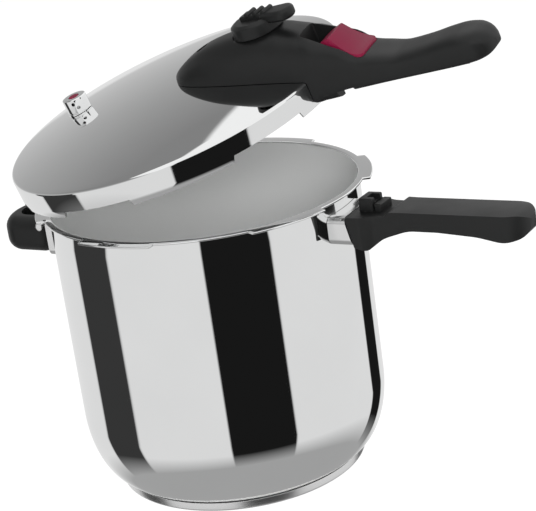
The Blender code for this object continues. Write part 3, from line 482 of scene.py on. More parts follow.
def worked(shape: Shape, operation: str, tools: Iterable[Shape]) -> Shape:
    """A shape after a Boolean step with each tool in turn.

    Args:
        shape: The shape, which is used up.
        operation: DIFFERENCE, UNION or INTERSECT.
        tools: The tools, which are used up.

    Returns:
        The new shape.
    """
    held = []
    for part in (shape, *tools):
        mesh = bpy.data.meshes.new("work")
        part.to_mesh(mesh)
        part.free()
        thing = bpy.data.objects.new("work", mesh)
        bpy.context.scene.collection.objects.link(thing)
        held.append(thing)
    for tool in held[1:]:
        step = held[0].modifiers.new("step", "BOOLEAN")
        step.operation = operation
        step.solver = "EXACT"
        step.object = tool
    bpy.context.view_layer.update()
    result = bmesh.new()
    result.from_object(held[0], bpy.context.evaluated_depsgraph_get())
    for thing in held:
        mesh = thing.data
        bpy.data.objects.remove(thing)
        bpy.data.meshes.remove(mesh)
    return result


def cut(shape: Shape, *tools: Shape) -> Shape:
    """The shape without the tools."""
    return worked(shape, "DIFFERENCE", tools)


def joined(shape: Shape, *tools: Shape) -> Shape:
    """The shape and the tools as one."""
    return worked(shape, "UNION", tools)


def common(shape: Shape, *tools: Shape) -> Shape:
    """What the shape and the tools share."""
    return worked(shape, "INTERSECT", tools)


# ---------------------------------------------------------------- finishes


class Graph:
    """The nodes of one material or world, with short ways to add and join them."""

    def __init__(self, tree: bpy.types.NodeTree) -> None:
        """Takes a node tree and empties it."""
        self.tree = tree
        tree.nodes.clear()

    def add(self, kind: str, **settings: object) -> bpy.types.Node:
        """Adds a node.

        Args:
            kind: Its type, without the ShaderNode that starts it.
            **settings: Its properties.

        Returns:
            The node.
        """
        node = self.tree.nodes.new("ShaderNode" + kind)
        for name, value in settings.items():
            setattr(node, name, value)
        return node

    def join(self, source: Socket, target: Socket) -> None:
        """Joins an output to an input."""
        self.tree.links.new(source, target)

    def feed(self, node: bpy.types.Node, **values: object) -> bpy.types.Node:
        """Sets or joins a node's inputs by name, with _ for a space.

        Args:
            node: The node.
            **values: A value, or an output to join.

        Returns:
            The same node.
        """
        for name, value in values.items():
            key = int(name[1:]) if name[0] == "i" and name[1:].isdigit() else name.replace("_", " ")
            if isinstance(value, Socket):
                self.join(value, node.inputs[key])
            else:
                node.inputs[key].default_value = value
        return node

    def sum(self, operation: str, *values: object) -> Socket:
        """A Math node's result.

        Args:
            operation: Its operation.
            *values: Its inputs, numbers or outputs.

        Returns:
            Its output.
        """
        node = self.add("Math", operation=operation)
        for socket, value in zip(node.inputs, values):
            if isinstance(value, Socket):
                self.join(value, socket)
            else:
                socket.default_value = value
        return node.outputs[0]

    def noise(self, place: Socket, scale: float, detail: float = 2.0) -> Socket:
        """A noise over a place, from 0 to 1."""
        node = self.feed(self.add("TexNoise"), Vector=place, Scale=scale, Detail=detail)
        return node.outputs["Fac"]

    def spread(self, value: Socket, low: float, high: float, start: float = 0.3, end: float = 0.7) -> Socket:
        """A value moved from one range to another.

        Args:
            value: The value.
            low: What start becomes.
            high: What end becomes.
            start: Low end of the value's range.
            end: High end of the value's range.

        Returns:
            The moved value.
        """
        node = self.add("MapRange")
        self.feed(node, Value=value, i1=start, i2=end, i3=low, i4=high)
        return node.outputs[0]

    def ramp(self, value: Socket, stops: Sequence[Point]) -> Socket:
        """A grey that follows a value along stops of (position, brightness)."""
        node = self.add("ValToRGB")
        elements = node.color_ramp.elements
        while len(elements) < len(stops):
            elements.new(0.5)
        for element, (position, level) in zip(elements, sorted(stops)):
            element.position = position
            element.color = (level, level, level, 1.0)
        self.join(value, node.inputs[0])
        return node.outputs[0]


@dataclass(frozen=True)
class Finish:
    """What every finish has: a name, a colour and how it shines."""

    name: str
    slot: Slot
    colour: Spot
    roughness: float
    metallic: float = 0.0
    specular: float = 0.5
    place: str = "pot"

    def start(self) -> tuple[bpy.types.Material, Graph, bpy.types.Node]:
        """The material, its graph and its Principled node, joined to the output."""
        made = bpy.data.materials.new(self.name)
        made.use_nodes = True
        made.diffuse_color = (*self.colour, 1.0)
        graph = Graph(made.node_tree)
        shader = graph.feed(
            graph.add("BsdfPrincipled"), Base_Color=(*self.colour, 1.0), Roughness=self.roughness,
            Metallic=self.metallic, Specular_IOR_Level=self.specular,
        )
        graph.join(shader.outputs[0], graph.add("OutputMaterial").inputs[0])
        return made, graph, shader

    def spot(self, graph: Graph) -> Socket:
        """The point on the piece, in the lid's frame for the lid's pieces."""
        place = graph.add("TexCoord").outputs["Object"]
        if self.place == "pot":
            return place
        turn = graph.add("Mapping", vector_type="TEXTURE")
        graph.feed(turn, Vector=place, Location=LID_PLACE.translation, Rotation=LID_PLACE.to_euler())
        return turn.outputs[0]

    def weather(
        self,
        graph: Graph,
        shader: bpy.types.Node,
        wear: Socket,
        tone: Socket,
        tint: float,
        relief: Socket,
        depth: float,
        distance: float,
    ) -> None:
        """Joins wear, tone and relief to the shader.

        Args:
            graph: The material's graph.
            shader: Its Principled node.
            wear: What is added to the roughness.
            tone: How much of the tinted colour shows.
            tint: The tinted colour as a share of the plain one.
            relief: Height of the fine surface.
            depth: Strength of the relief.
            distance: Height of the relief in metres.
        """
        graph.join(graph.sum("ADD", wear, self.roughness), shader.inputs["Roughness"])
        other = tuple(min(1.0, tint * part) for part in self.colour)
        mix = graph.feed(graph.add("MixRGB"), Fac=tone, Color1=(*self.colour, 1.0), Color2=(*other, 1.0))
        graph.join(mix.outputs[0], shader.inputs["Base Color"])
        bump = graph.feed(graph.add("Bump"), Strength=depth, Distance=distance, Height=relief)
        graph.join(bump.outputs[0], shader.inputs["Normal"])

    def material(self) -> bpy.types.Material:
        """The finished material."""
        raise NotImplementedError


@dataclass(frozen=True)
class Polished(Finish):
    """Polished sheet: fine rings round the axis it was spun on, and a soft haze of wiping."""

    metallic: float = 1.0
    ring_pitch: float = 0.35 * MM
    ring_depth: float = 0.03
    haze: float = 0.018

    def material(self) -> bpy.types.Material:
        """Rings from the distance to the axis and the height, haze from a broad noise."""
        made, graph, shader = self.start()
        spot = self.spot(graph)
        parts = graph.add("SeparateXYZ")
        graph.join(spot, parts.inputs[0])
        flat = graph.add("CombineXYZ")
        graph.join(parts.outputs[0], flat.inputs[0])
        graph.join(parts.outputs[1], flat.inputs[1])
        reach = graph.add("VectorMath", operation="LENGTH")
        graph.join(flat.outputs[0], reach.inputs[0])
        line = graph.add("CombineXYZ")
        graph.join(reach.outputs["Value"], line.inputs[0])
        graph.join(parts.outputs[2], line.inputs[1])
        rings = graph.noise(line.outputs[0], 1 / self.ring_pitch, 1.0)
        haze = graph.noise(spot, 18.0, 3.0)
        wiped = graph.sum("ADD", graph.spread(haze, 0.0, self.haze), graph.spread(rings, 0.0, self.haze / 2))
        self.weather(graph, shader, wiped, haze, 0.94, rings, self.ring_depth, 0.02 * MM)
        return made


@dataclass(frozen=True)
class Brushed(Finish):
    """Sheet brushed round and round, so that what it mirrors is drawn out up and down."""

    metallic: float = 1.0
    grain: Spot = (30.0, 30.0, 1800.0)
    stretch: float = 0.95

    def material(self) -> bpy.types.Material:
        """A grain that runs round the pot, over a tangent that runs round it too."""
        made, graph, shader = self.start()
        turn = graph.add("Tangent", direction_type="RADIAL", axis="Z")
        graph.join(turn.outputs[0], shader.inputs["Tangent"])
        shader.inputs["Anisotropic"].default_value = self.stretch
        drawn = graph.feed(graph.add("Mapping"), Vector=self.spot(graph), Scale=self.grain)
        grain = graph.noise(drawn.outputs[0], 1.0, 3.0)
        rough = graph.sum("ADD", graph.spread(grain, -0.03, 0.03), self.roughness)
        graph.join(rough, shader.inputs["Roughness"])
        return made


@dataclass(frozen=True)
class Grained(Finish):
    """Worked metal with a grain along one way and small dull patches."""

    metallic: float = 1.0
    grain: Spot = (900.0, 900.0, 90.0)
    depth: float = 0.15
    patch: float = 0.12

    def material(self) -> bpy.types.Material:
        """A stretched noise for the grain and a broad one for the patches."""
        made, graph, shader = self.start()
        spot = self.spot(graph)
        stretch = graph.feed(graph.add("Mapping"), Vector=spot, Scale=self.grain)
        grain = graph.noise(stretch.outputs[0], 1.0, 3.0)
        patch = graph.noise(spot, 60.0, 4.0)
        wear = graph.spread(patch, 0.0, self.patch)
        self.weather(graph, shader, wear, grain, 0.8, grain, self.depth, 0.03 * MM)
        return made


@dataclass(frozen=True)
class Moulded(Finish):
    """Pressed plastic or rubber: a fine leathery skin, faint flow marks and rubbed patches."""

    skin: float = 2600.0
    depth: float = 0.06
    rub: float = 0.10
    fade: float = 1.35

    def material(self) -> bpy.types.Material:
        """A fine noise for the skin and a broad one for flow marks and rubbing."""
        made, graph, shader = self.start()
        spot = self.spot(graph)
        skin = graph.noise(spot, self.skin, 2.0)
        flow = graph.noise(spot, 34.0, 4.0)
        wear, tone = graph.spread(flow, 0.0, self.rub), graph.spread(flow, 0.0, 1.0)
        self.weather(graph, shader, wear, tone, self.fade, skin, self.depth, 0.04 * MM)
        return made


class Look(Enum):
    """The finishes of this cooker."""

    POT_STEEL = Polished("pot_steel", Slot.MIRROR, (0.87, 0.875, 0.875), 0.012)
    INNER_STEEL = Brushed("inner_steel", Slot.MIRROR, (0.90, 0.905, 0.90), 0.42, metallic=0.5)
    BASE_STEEL = Polished("base_steel", Slot.MIRROR, (0.82, 0.82, 0.82), 0.26)
    LID_STEEL = Polished("lid_steel", Slot.MIRROR, (0.87, 0.875, 0.875), 0.016, place="lid")
    GUARD_STEEL = Polished(
        "guard_steel", Slot.MIRROR, (0.80, 0.80, 0.80), 0.10, ring_pitch=0.5 * MM, ring_depth=0.2, haze=0.06
    )
    PRESSED_STEEL = Grained("pressed_steel", Slot.SATIN, (0.60, 0.60, 0.60), 0.24)
    TURNED_STEEL = Grained(
        "turned_steel", Slot.SATIN, (0.62, 0.62, 0.62), 0.20, place="lid", grain=(120.0, 120.0, 2400.0)
    )
    SPRING_STEEL = Grained("spring_steel", Slot.SATIN, (0.52, 0.52, 0.53), 0.28, place="lid")
    CORE_ALUMINIUM = Grained("core_aluminium", Slot.ALUMINIUM, (0.72, 0.73, 0.74), 0.42)
    TURNED_BRASS = Grained(
        "turned_brass", Slot.BRASS, (0.72, 0.58, 0.30), 0.25, place="lid", grain=(120.0, 120.0, 2400.0)
    )
    POT_PLASTIC = Moulded("pot_plastic", Slot.BAKELITE, (0.005, 0.0052, 0.0052), 0.40, specular=0.32)
    LID_PLASTIC = Moulded(
        "lid_plastic", Slot.BAKELITE, (0.005, 0.0052, 0.0052), 0.38, specular=0.32, place="lid"
    )
    BURGUNDY = Moulded(
        "burgundy_plastic", Slot.BURGUNDY, (0.14, 0.005, 0.026), 0.40, specular=0.25, place="lid", fade=1.1
    )
    SILICONE = Moulded(
        "grey_silicone", Slot.SILICONE, (0.30, 0.30, 0.30), 0.62, place="lid", skin=900.0, fade=1.15
    )


class Workshop:
    """Carries finished shapes to their place and hands them over as pieces."""

    def __init__(self) -> None:
        """Starts with no materials made."""
        self.materials: dict[Look, bpy.types.Material] = {}

    def material(self, look: Look) -> bpy.types.Material:
        """The one material of a finish."""
        if look not in self.materials:
            self.materials[look] = look.value.material()
        return self.materials[look]

    def deliver(
        self,
        name: str,
        shape: Shape,
        look: Look,
        body: Body | None,
        node: str,
        angle: float = 32.0,
        inner: Look | None = None,
        within: Callable[[Vector], bool] | None = None,
    ) -> bpy.types.Object:
        """Makes a piece of a shape, in place of its CAD node.

        Args:
            name: The piece's name.
            shape: Its shape, in the pot's frame or the lid's, which is used up.
            look: Its finish, whose place says which frame.
            body: The body it rides on, if any.
            node: The CAD node that it stands for.
            angle: Edges sharper than this, in degrees, stay crisp.
            inner: The finish of its inner faces, if that differs.
            within: Says whether a face's middle belongs to the inner faces.

        Returns:
            The piece.
        """
        place = LID_PLACE if look.value.place == "lid" else POT_PLACE
        bmesh.ops.transform(shape, matrix=place, verts=shape.verts[:])
        bmesh.ops.recalc_face_normals(shape, faces=shape.faces[:])
        for face in shape.faces:
            face.material_index = int(within is not None and within(face.calc_center_median()))
        mesh = bpy.data.meshes.new(name)
        shape.to_mesh(mesh)
        shape.free()
        mesh.shade_smooth()
        mesh.set_sharp_from_angle(angle=math.radians(angle))
        for finish in (look, inner):
            if finish is not None:
                mesh.materials.append(self.material(finish))
        piece = bpy.data.objects.new(name, mesh)
        bpy.context.scene.collection.objects.link(piece)
        if body is not None:
            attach(piece, body.value)
        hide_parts(node)
        LOG.info("%s: %d faces on %s", name, len(mesh.polygons), body.value if body else "two bodies")
        return piece

    def spring(
        self,
        name: str,
        node: str,
        radius: float,
        wire: float,
        turns: float,
        start: Spot,
        end: Spot,
        body: Body | None = Body.LID,
    ) -> bpy.types.Object:
        """Makes a spring.

        Args:
            name: The piece's name.
            node: The CAD node that it stands for.
            radius: From its line to the middle of its wire.
            wire: Thickness of its wire.
            turns: Number of turns.
            start: The end that moves, in the lid's frame.
            end: The end that stays, in the lid's frame.
            body: The body it rides on, if any.

        Returns:
            The piece.
        """
        shape = coiled(radius, wire, turns, start, end)
        return self.deliver(name, shape, Look.SPRING_STEEL, body, node)

    def pressed(self, spring: bpy.types.Object, drive: str, travel: float, start: Spot, end: Spot) -> None:
        """Gives a spring a mesh of its own; it is not pressed together as the joint moves.

        Args:
            spring: The spring.
            drive: The joint's name; not used.
            travel: How far the joint moves its end; not used.
            start: The end that moves, in the lid's frame; not used.
            end: The end that stays, in the lid's frame; not used.
        """
        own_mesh(spring)


# ---------------------------------------------------------------- the pot


@dataclass
class Vessel:
    """The pot: one drawn sheet with a flanged rim and six tabs, and the sandwich base under it."""

    shop: Workshop
    wall: float = 1.0 * MM
    corner_run: float = 24.4 * MM
    corner_rise: float = 49.9 * MM
    base_thick: float = 6.2 * MM
    base_skin: float = 0.8 * MM
    tab_span: float = 27.0
    corner_steps: int = 40

    def section(self) -> list[Point]:
        """The wall's section, from the middle of the floor up the inside and down the outside."""
        radius, height = COOKER.radius, COOKER.height
        low = self.base_thick + FIT
        inside, floor = radius - self.wall, radius - self.corner_run
        centre = (floor, low + self.corner_rise)
        run, rise = self.corner_run, self.corner_rise
        inner = arc(centre, run - self.wall, -90, 0, self.corner_steps, rise - self.wall)
        outer = arc(centre, run, 0, -90, self.corner_steps, rise)
        flange = radius + COOKER.rim_reach
        under = height - COOKER.rim_thick
        rim = softened(
            [
                inner[-1], (inside, height - 12 * MM, 0), (inside, height, 1.1 * MM),
                (radius + 2 * MM, height, 0),
                (flange, height, 0.6 * MM), (flange, under, 0.6 * MM), (radius + 2 * MM, under, 0),
                (radius, under, 0.8 * MM), (radius, height - 12 * MM, 0), outer[0],
            ],
            closed=False, steps=5,
        )
        return [(0.0, low + self.wall)] + inner[:-1] + rim + outer[1:] + [(0.0, low)]

    def shell(self) -> Shape:
        """The turned wall, with its rim drawn out into six tabs."""
        shape = turned(self.section(), COOKER.steps)
        edge = COOKER.radius + 2.5 * MM
        for vert in shape.verts:
            reach = Vector(vert.co[:2]).length
            if reach > edge and COOKER.near_lug(vert.co, self.tab_span):
                out = reach + COOKER.tab_reach - COOKER.rim_reach
                vert.co.x *= out / reach
                vert.co.y *= out / reach
        return shape

    def within(self, spot: Vector) -> bool:
        """Whether a point lies on the brushed inside, below the polished rim."""
        inset = COOKER.radius - 0.5 * self.wall - Vector(spot[:2]).length
        low = self.base_thick + FIT
        corner = low + self.corner_rise
        if spot.z < corner:
            share = math.sqrt(max(0.0, 1 - ((corner - spot.z - 0.5 * self.wall) / self.corner_rise) ** 2))
            inset -= self.corner_run * (1 - share)
        return inset > 0 and low + 0.6 * self.wall < spot.z < COOKER.height - 3 * MM

    def base(self) -> Shape:
        """The base's steel cap, a shallow dish that holds the core."""
        radius, skin, thick = COOKER.base_radius, self.base_skin, self.base_thick
        section = softened(
            [
                (0.0, skin, 0), (radius - skin, skin, 0.3 * MM), (radius - skin, thick, 0.2 * MM),
                (radius, thick, 0.3 * MM), (radius, 0.0, 1.6 * MM), (0.0, 0.0, 0),
            ],
            closed=False, steps=6,
        )
        return turned(section, COOKER.steps)

    def build(self) -> None:
        """Makes the pot's pieces."""
        self.shop.deliver(
            "pot_vessel", self.shell(), Look.POT_STEEL, Body.POT, "pot_body", 40,
            inner=Look.INNER_STEEL, within=self.within,
        )
        self.shop.deliver("base_dish", self.base(), Look.BASE_STEEL, Body.POT, "base_cap", 40)
        radius = COOKER.base_radius - self.base_skin - FIT
        low, high = self.base_skin + FIT, self.base_thick
        core = turned([(0.0, high), (radius, high), (radius, low), (0.0, low)], COOKER.steps)
        self.shop.deliver("base_plate", core, Look.CORE_ALUMINIUM, Body.POT, "base_core")


@dataclass(frozen=True)
class Sleeve:
    """A sheet-steel sleeve between the pot's wall and a handle."""

    side: int
    half: float
    low: float
    high: float
    reach: float
    lean: float = 0.0
    sheet: float = 0.8 * MM
    corner: float = 6.0 * MM

    def ring(self, inset: float, along: float, lean: float) -> list[Spot]:
        """One end's outline, as (x, y, z) points."""
        half, low, high = self.half - inset, self.low + inset, self.high - inset
        bend = self.corner - inset
        corners = [(half, high), (-half, high), (-half, low), (half, low)]
        points = softened([(y, z, bend) for y, z in corners], steps=10)
        run = self.high - self.low
        return [(self.side * (along + lean * (self.high - z) / run), y, z) for y, z in points]

    def shape(self) -> Shape:
        """The sleeve, shaped to the pot's wall at its inner end."""
        near = 0.8 * COOKER.radius
        outer = lofted([self.ring(0.0, near, 0.0), self.ring(0.0, self.reach, self.lean)])
        bore = lofted(
            [self.ring(
                self.sheet, near - 1 * MM, 0.0
            ), self.ring(self.sheet, self.reach + 1 * MM, self.lean)]
        )
        return cut(outer, bore, wall_space())


def wall_space() -> Shape:
    """The space that the pot's wall fills, with a running gap, for what lies against it."""
    top = COOKER.height - COOKER.rim_thick
    return rod(COOKER.radius + FIT, (0, 0, 0.4 * COOKER.height), (0, 0, top), COOKER.steps // 2)


def welded_plate(
    side: int, low: float, high: float, half: float, tongue: tuple[Point, Point, Point]
) -> Shape:
    """A plate on the wall with a tongue that runs into a handle.

    Args:
        side: 1 towards the long handle, -1 towards the short one.
        low: Foot of the plate.
        high: Top of the plate.
        half: Half its width.
        tongue: The tongue's extent along x, y and z.

    Returns:
        The closed shape.
    """
    x = sorted((side * 0.95 * COOKER.radius, side * (COOKER.radius + 4 * MM)))
    plate = joined(bar(x, (-half, half), (low, high)), bar(*tongue))
    return cut(plate, wall_space())


def screw_shape(at: Point, seat: float, tip: float, radius: float, head: float, rise: float) -> Shape:
    """A screw with its head below its seat, a cross recess in the head and its tip up.

    Args:
        at: Where it stands.
        seat: The face under which its head lies.
        tip: Height of its tip.
        radius: Radius of its thread.
        head: Radius of its head.
        rise: Thickness of its head.

    Returns:
        The closed shape.
    """
    low = seat - rise
    section = softened(
        [
            (0.0, tip, 0), (0.5 * radius, tip, 0), (radius, tip - 0.6 * radius, 0), (radius, seat, 0),
            (head, seat, 0.1 * MM), (head, low + 0.35 * rise, 0.3 * rise), (0.7 * head, low, 0.3 * rise),
            (0.0, low, 0),
        ],
        closed=False,
    )
    made = turned(section, 64, at)
    arm, depth = 0.55 * head, 0.45 * rise
    for x, y in ((arm, 0.14 * head), (0.14 * head, arm)):
        recess = bar((at[0] - x, at[0] + x), (at[1] - y, at[1] + y), (low - 1 * MM, low + depth))
        made = cut(made, recess)
    return made


def nut_shape(at: Point, low: float, high: float, across: float, bore: float) -> Shape:
    """A hexagon nut with chamfered corners.

    Args:
        at: Where it stands.
        low: Its lower face.
        high: Its upper face.
        across: Its width over flats.
        bore: Radius of its hole.

    Returns:
        The closed shape.
    """
    radius = across / math.sqrt(3)
    hexagon = rod(radius, (*at, low), (*at, high), 6)
    turn = 0.35 * (radius - across / 2) + across / 2
    cone = [
        (0.0, high), (turn, high), (radius, high - 0.8 * MM), (radius, low + 0.8 * MM), (turn, low),
        (0.0, low)
    ]
    return cut(common(hexagon, turned(cone, 72, at)), rod(bore, (*at, low - 1 * MM), (*at, high + 1 * MM)))


@dataclass
class LongHandle:
    """The pot's long handle with its flame guard, bracket, screw and the catch for the lid's bolt."""

    shop: Workshop
    guard_half: float = 22.5 * MM
    guard_rise: float = 20.0 * MM
    guard_drop: float = 10.1 * MM
    root_gap: float = 11.0 * MM
    root_lean: float = 5.0 * MM
    root_run: float = 29.0 * MM
    grip_half: float = 16.0 * MM
    catch_half: float = 8.0 * MM
    bolt_half: float = 4.2 * MM
    tongue_half: float = 7.0 * MM

    def __post_init__(self) -> None:
        """Works the places out from the pot's rim and wall."""
        self.guard_top = COOKER.height - self.guard_drop
        self.guard_low = self.guard_top - self.guard_rise
        self.root = COOKER.radius + self.root_gap
        self.root_top = self.guard_top + FIT
        self.grip = self.root + self.root_run
        self.grip_top = self.guard_top + 3.2 * MM
        self.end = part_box("pot_handle")[1].x
        self.screw_x = self.grip - 4 * MM
        self.tongue_low = self.guard_top - 7.3 * MM
        self.catch = COOKER.lid_radius + 2.5 * MM
        self.catch_end = self.catch + 10.5 * MM

    def side(self) -> list[Point]:
        """The handle's outline from the side, with its finger swell near the end."""
        grip, end, top = self.grip, self.end, self.grip_top
        return softened(
            [
                (self.root, self.root_top, 0.8 * MM), (grip - 3 * MM, self.root_top, 2 * MM),
                (grip + 1 * MM, top, 3 * MM), (end - 6 * MM, top, 12 * MM),
                (end + 0.6 * MM, top - 4 * MM, 6 * MM),
                (end - 1.5 * MM, top - 15 * MM, 10 * MM), (end - 16 * MM, top - 18.2 * MM, 26 * MM),
                (end - 34 * MM, top - 14.6 * MM, 60 * MM), (end - 62 * MM, top - 12.6 * MM, 90 * MM),
                (grip + 14 * MM, top - 12.6 * MM, 30 * MM), (grip - 5 * MM, top - 18.5 * MM, 30 * MM),
                (grip - 15 * MM, top - 26.5 * MM, 5 * MM),
                (self.root + self.root_lean, self.guard_low - 0.8 * MM, 1.2 * MM),
            ],
            steps=8,
        )

    def plan(self) -> list[Point]:
        """The handle's outline from above, from the wide root to the round end."""
        grip, root, half = self.grip, self.root, self.guard_half
        near = [
            (root - 2 * MM, half - 0.3 * MM, 0), (root + 10 * MM, half - 0.6 * MM, 6 * MM),
            (grip - 10 * MM, self.grip_half + 1.6 * MM, 14 * MM), (grip + 8 * MM, self.grip_half, 10 * MM),
            (grip + 50 * MM, self.grip_half, 0),
        ]
        upper = softened(near, closed=False, steps=6)
        heel = arc((self.end - 17 * MM, 0.0), 17 * MM, 90, -90, 36, self.grip_half)
        lower = [(x, -y) for x, y in reversed(upper)]
        return upper + heel + lower

    def handle(self) -> Shape:
        """Side and plan outlines met, edges rounded, then the catch, its notch and the hidden slots."""
        wide = 1.2 * self.guard_half
        body = slab([(x, -wide, z) for x, z in self.side()], (0, 2 * wide, 0))
        above = slab([(x, y, self.guard_low - 20 * MM) for x, y in self.plan()], (0, 0, 60 * MM))
        made = rounded(common(body, above), 1.7 * MM, 4, 38)
        across, foot = (-self.catch_half, self.catch_half), self.root_top - 3 * MM
        sill = self.catch_end + 1 * MM
        rim = COOKER.height
        catch = rounded(bar((self.catch, self.catch_end), across, (foot, rim - 0.9 * MM)), 0.9 * MM)
        step = rounded(bar((sill, sill + 5.5 * MM), across, (foot, rim - 4.2 * MM)), 0.7 * MM)
        notch = bar(
            (self.catch_end - 5.7 * MM, self.catch_end + 0.9 * MM), (-self.bolt_half, self.bolt_half),
            (rim - 4.3 * MM, rim + 1 * MM),
        )
        x, low = self.screw_x, self.tongue_low
        slot = bar(
            (self.root - 5 * MM, x + 8 * MM + FIT), (-self.tongue_half - FIT, self.tongue_half + FIT),
            (low - FIT, low + 3 * MM + FIT),
        )
        hole = rod(2.5 * MM + FIT, (x, 0, low - 30 * MM), (x, 0, low + 6 * MM))
        sink = rod(5.0 * MM, (x, 0, low - 30 * MM), (x, 0, low - 3.5 * MM))
        return cut(joined(made, catch, step), notch, slot, hole, sink)

    def build(self) -> None:
        """Makes the long handle's pieces."""
        shop, x, low = self.shop, self.screw_x, self.tongue_low
        shop.deliver("long_handle", self.handle(), Look.POT_PLASTIC, Body.POT, "pot_handle", 28)
        sleeve = Sleeve(
            1, self.guard_half, self.guard_low, self.guard_top, self.root - FIT - 0.4 * MM, self.root_lean
        )
        shop.deliver("long_flame_guard", sleeve.shape(), Look.GUARD_STEEL, Body.POT, "pot_flame_guard")
        tongue = (
            (COOKER.radius + 2 * MM, x + 8 * MM), (-self.tongue_half, self.tongue_half), (low, low + 3 * MM)
        )
        half = self.guard_half - 5 * MM
        plate = welded_plate(1, self.guard_low + 3 * MM, self.guard_top - 3 * MM, half, tongue)
        plate = cut(plate, rod(2.5 * MM + FIT, (x, 0, low - 9 * MM), (x, 0, low + 9 * MM)))
        shop.deliver("long_bracket", plate, Look.PRESSED_STEEL, Body.POT, "pot_bracket")
        screw = screw_shape(
            (x, 0.0), low - 3.5 * MM - FIT, low + 5.5 * MM, 2.5 * MM, 4.3 * MM, 2.6 * MM
        )
        shop.deliver("long_handle_screw", screw, Look.PRESSED_STEEL, Body.POT, "pot_handle_screw")


@dataclass
class ShortHandle:
    """The looped helper handle with its flame guard, bracket and cross pin."""

    shop: Workshop
    half: float = 27.0 * MM
    rise: float = 26.5 * MM
    pin_radius: float = 2.0 * MM
    pin_cap: float = 3.0 * MM
    finger_half: float = 15.5 * MM
    tongue_half: float = 10.0 * MM

    def __post_init__(self) -> None:
        """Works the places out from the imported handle's box."""
        low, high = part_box("helper_handle")
        self.low, self.top = low.z, high.z
        self.start, self.end = -high.x, -low.x
        self.pin_x = self.start + 5.3 * MM
        self.pin_z = self.top - 4.8 * MM

    def loop(self) -> Shape:
        """The round-nosed block with its finger gap, slot and pin hole."""
        nose = arc((self.end - 19 * MM, 0.0), 19 * MM, -90, 90, 40, self.half)
        outline = [(self.start, -self.half)] + nose + [(self.start, self.half)]
        block = slab([(-x, y, self.low) for x, y in outline], (0, 0, self.top - self.low))
        block = rounded(block, 9.5 * MM, 10, 50)
        gap_start, gap_end = self.start + 12.5 * MM, self.end - 11.9 * MM
        run = (gap_end - gap_start) / 2
        hole = arc((gap_end - run, 0.0), run, -90, 90, 28, self.finger_half)
        hole = softened(
            [(gap_start, -self.finger_half, 3 * MM)] + [(x, y, 0) for x, y in hole]
            + [(gap_start, self.finger_half, 3 * MM)]
        )
        gap = slab([(-x, y, self.low - 5 * MM) for x, y in hole], (0, 0, 60 * MM))
        low, high = self.tongue()
        slot = bar(
            (-self.pin_x - 4.2 * MM - FIT, -self.start + 5 * MM),
            (-self.tongue_half - FIT, self.tongue_half + FIT), (low - FIT, high + FIT),
        )
        wide = 1.2 * self.half
        pin_hole = rod(
            self.pin_radius + FIT, (-self.pin_x, -wide, self.pin_z), (-self.pin_x, wide, self.pin_z)
        )
        return cut(block, gap, slot, pin_hole)

    def tongue(self) -> Point:
        """Lowest and highest point of the bracket's tongue."""
        return self.pin_z - 6 * MM, self.pin_z + self.pin_radius + FIT + 0.6 * MM

    def pin(self) -> Shape:
        """The cross pin with a domed cap at each end."""
        inner, outer, cap = self.half + FIT, self.half + 1.5 * MM, self.pin_cap
        section = softened(
            [
                (0.0, outer, 0), (cap, outer, 1.1 * MM), (cap, inner, 0.1 * MM), (self.pin_radius, inner, 0),
                (self.pin_radius, -inner, 0), (cap, -inner, 0.1 * MM), (cap, -outer, 1.1 * MM),
                (0.0, -outer, 0),
            ],
            closed=False,
        )
        shape = turned(section, 64)
        bmesh.ops.rotate(shape, matrix=Matrix.Rotation(math.pi / 2, 3, "X"), verts=shape.verts[:])
        bmesh.ops.translate(shape, vec=(-self.pin_x, 0, self.pin_z), verts=shape.verts[:])
        return shape

    def build(self) -> None:
        """Makes the short handle's pieces."""
        shop = self.shop
        shop.deliver("short_handle", self.loop(), Look.POT_PLASTIC, Body.POT, "helper_handle", 28)
        sleeve = Sleeve(
            -1, self.half + 0.6 * MM, self.low - 0.6 * MM, self.top + 1.4 * MM, self.start - FIT
        )
        shop.deliver("short_flame_guard", sleeve.shape(), Look.GUARD_STEEL, Body.POT, "helper_flame_guard")
        low, high = self.tongue()
        tongue = (
            (-self.pin_x - 4.2 * MM, -COOKER.radius - 2 * MM), (-self.tongue_half, self.tongue_half),
            (low, high)
        )
        plate = welded_plate(-1, self.low + 4 * MM, self.top - 2.5 * MM, self.half - 6 * MM, tongue)
        wide = 1.2 * self.half
        hole = rod(self.pin_radius + FIT, (-self.pin_x, -wide, self.pin_z), (-self.pin_x, wide, self.pin_z))
        shop.deliver("short_bracket", cut(plate, hole), Look.PRESSED_STEEL, Body.POT, "helper_bracket")
        shop.deliver("short_handle_pin", self.pin(), Look.GUARD_STEEL, Body.POT, "helper_pin")


# ---------------------------------------------------------------- the lid


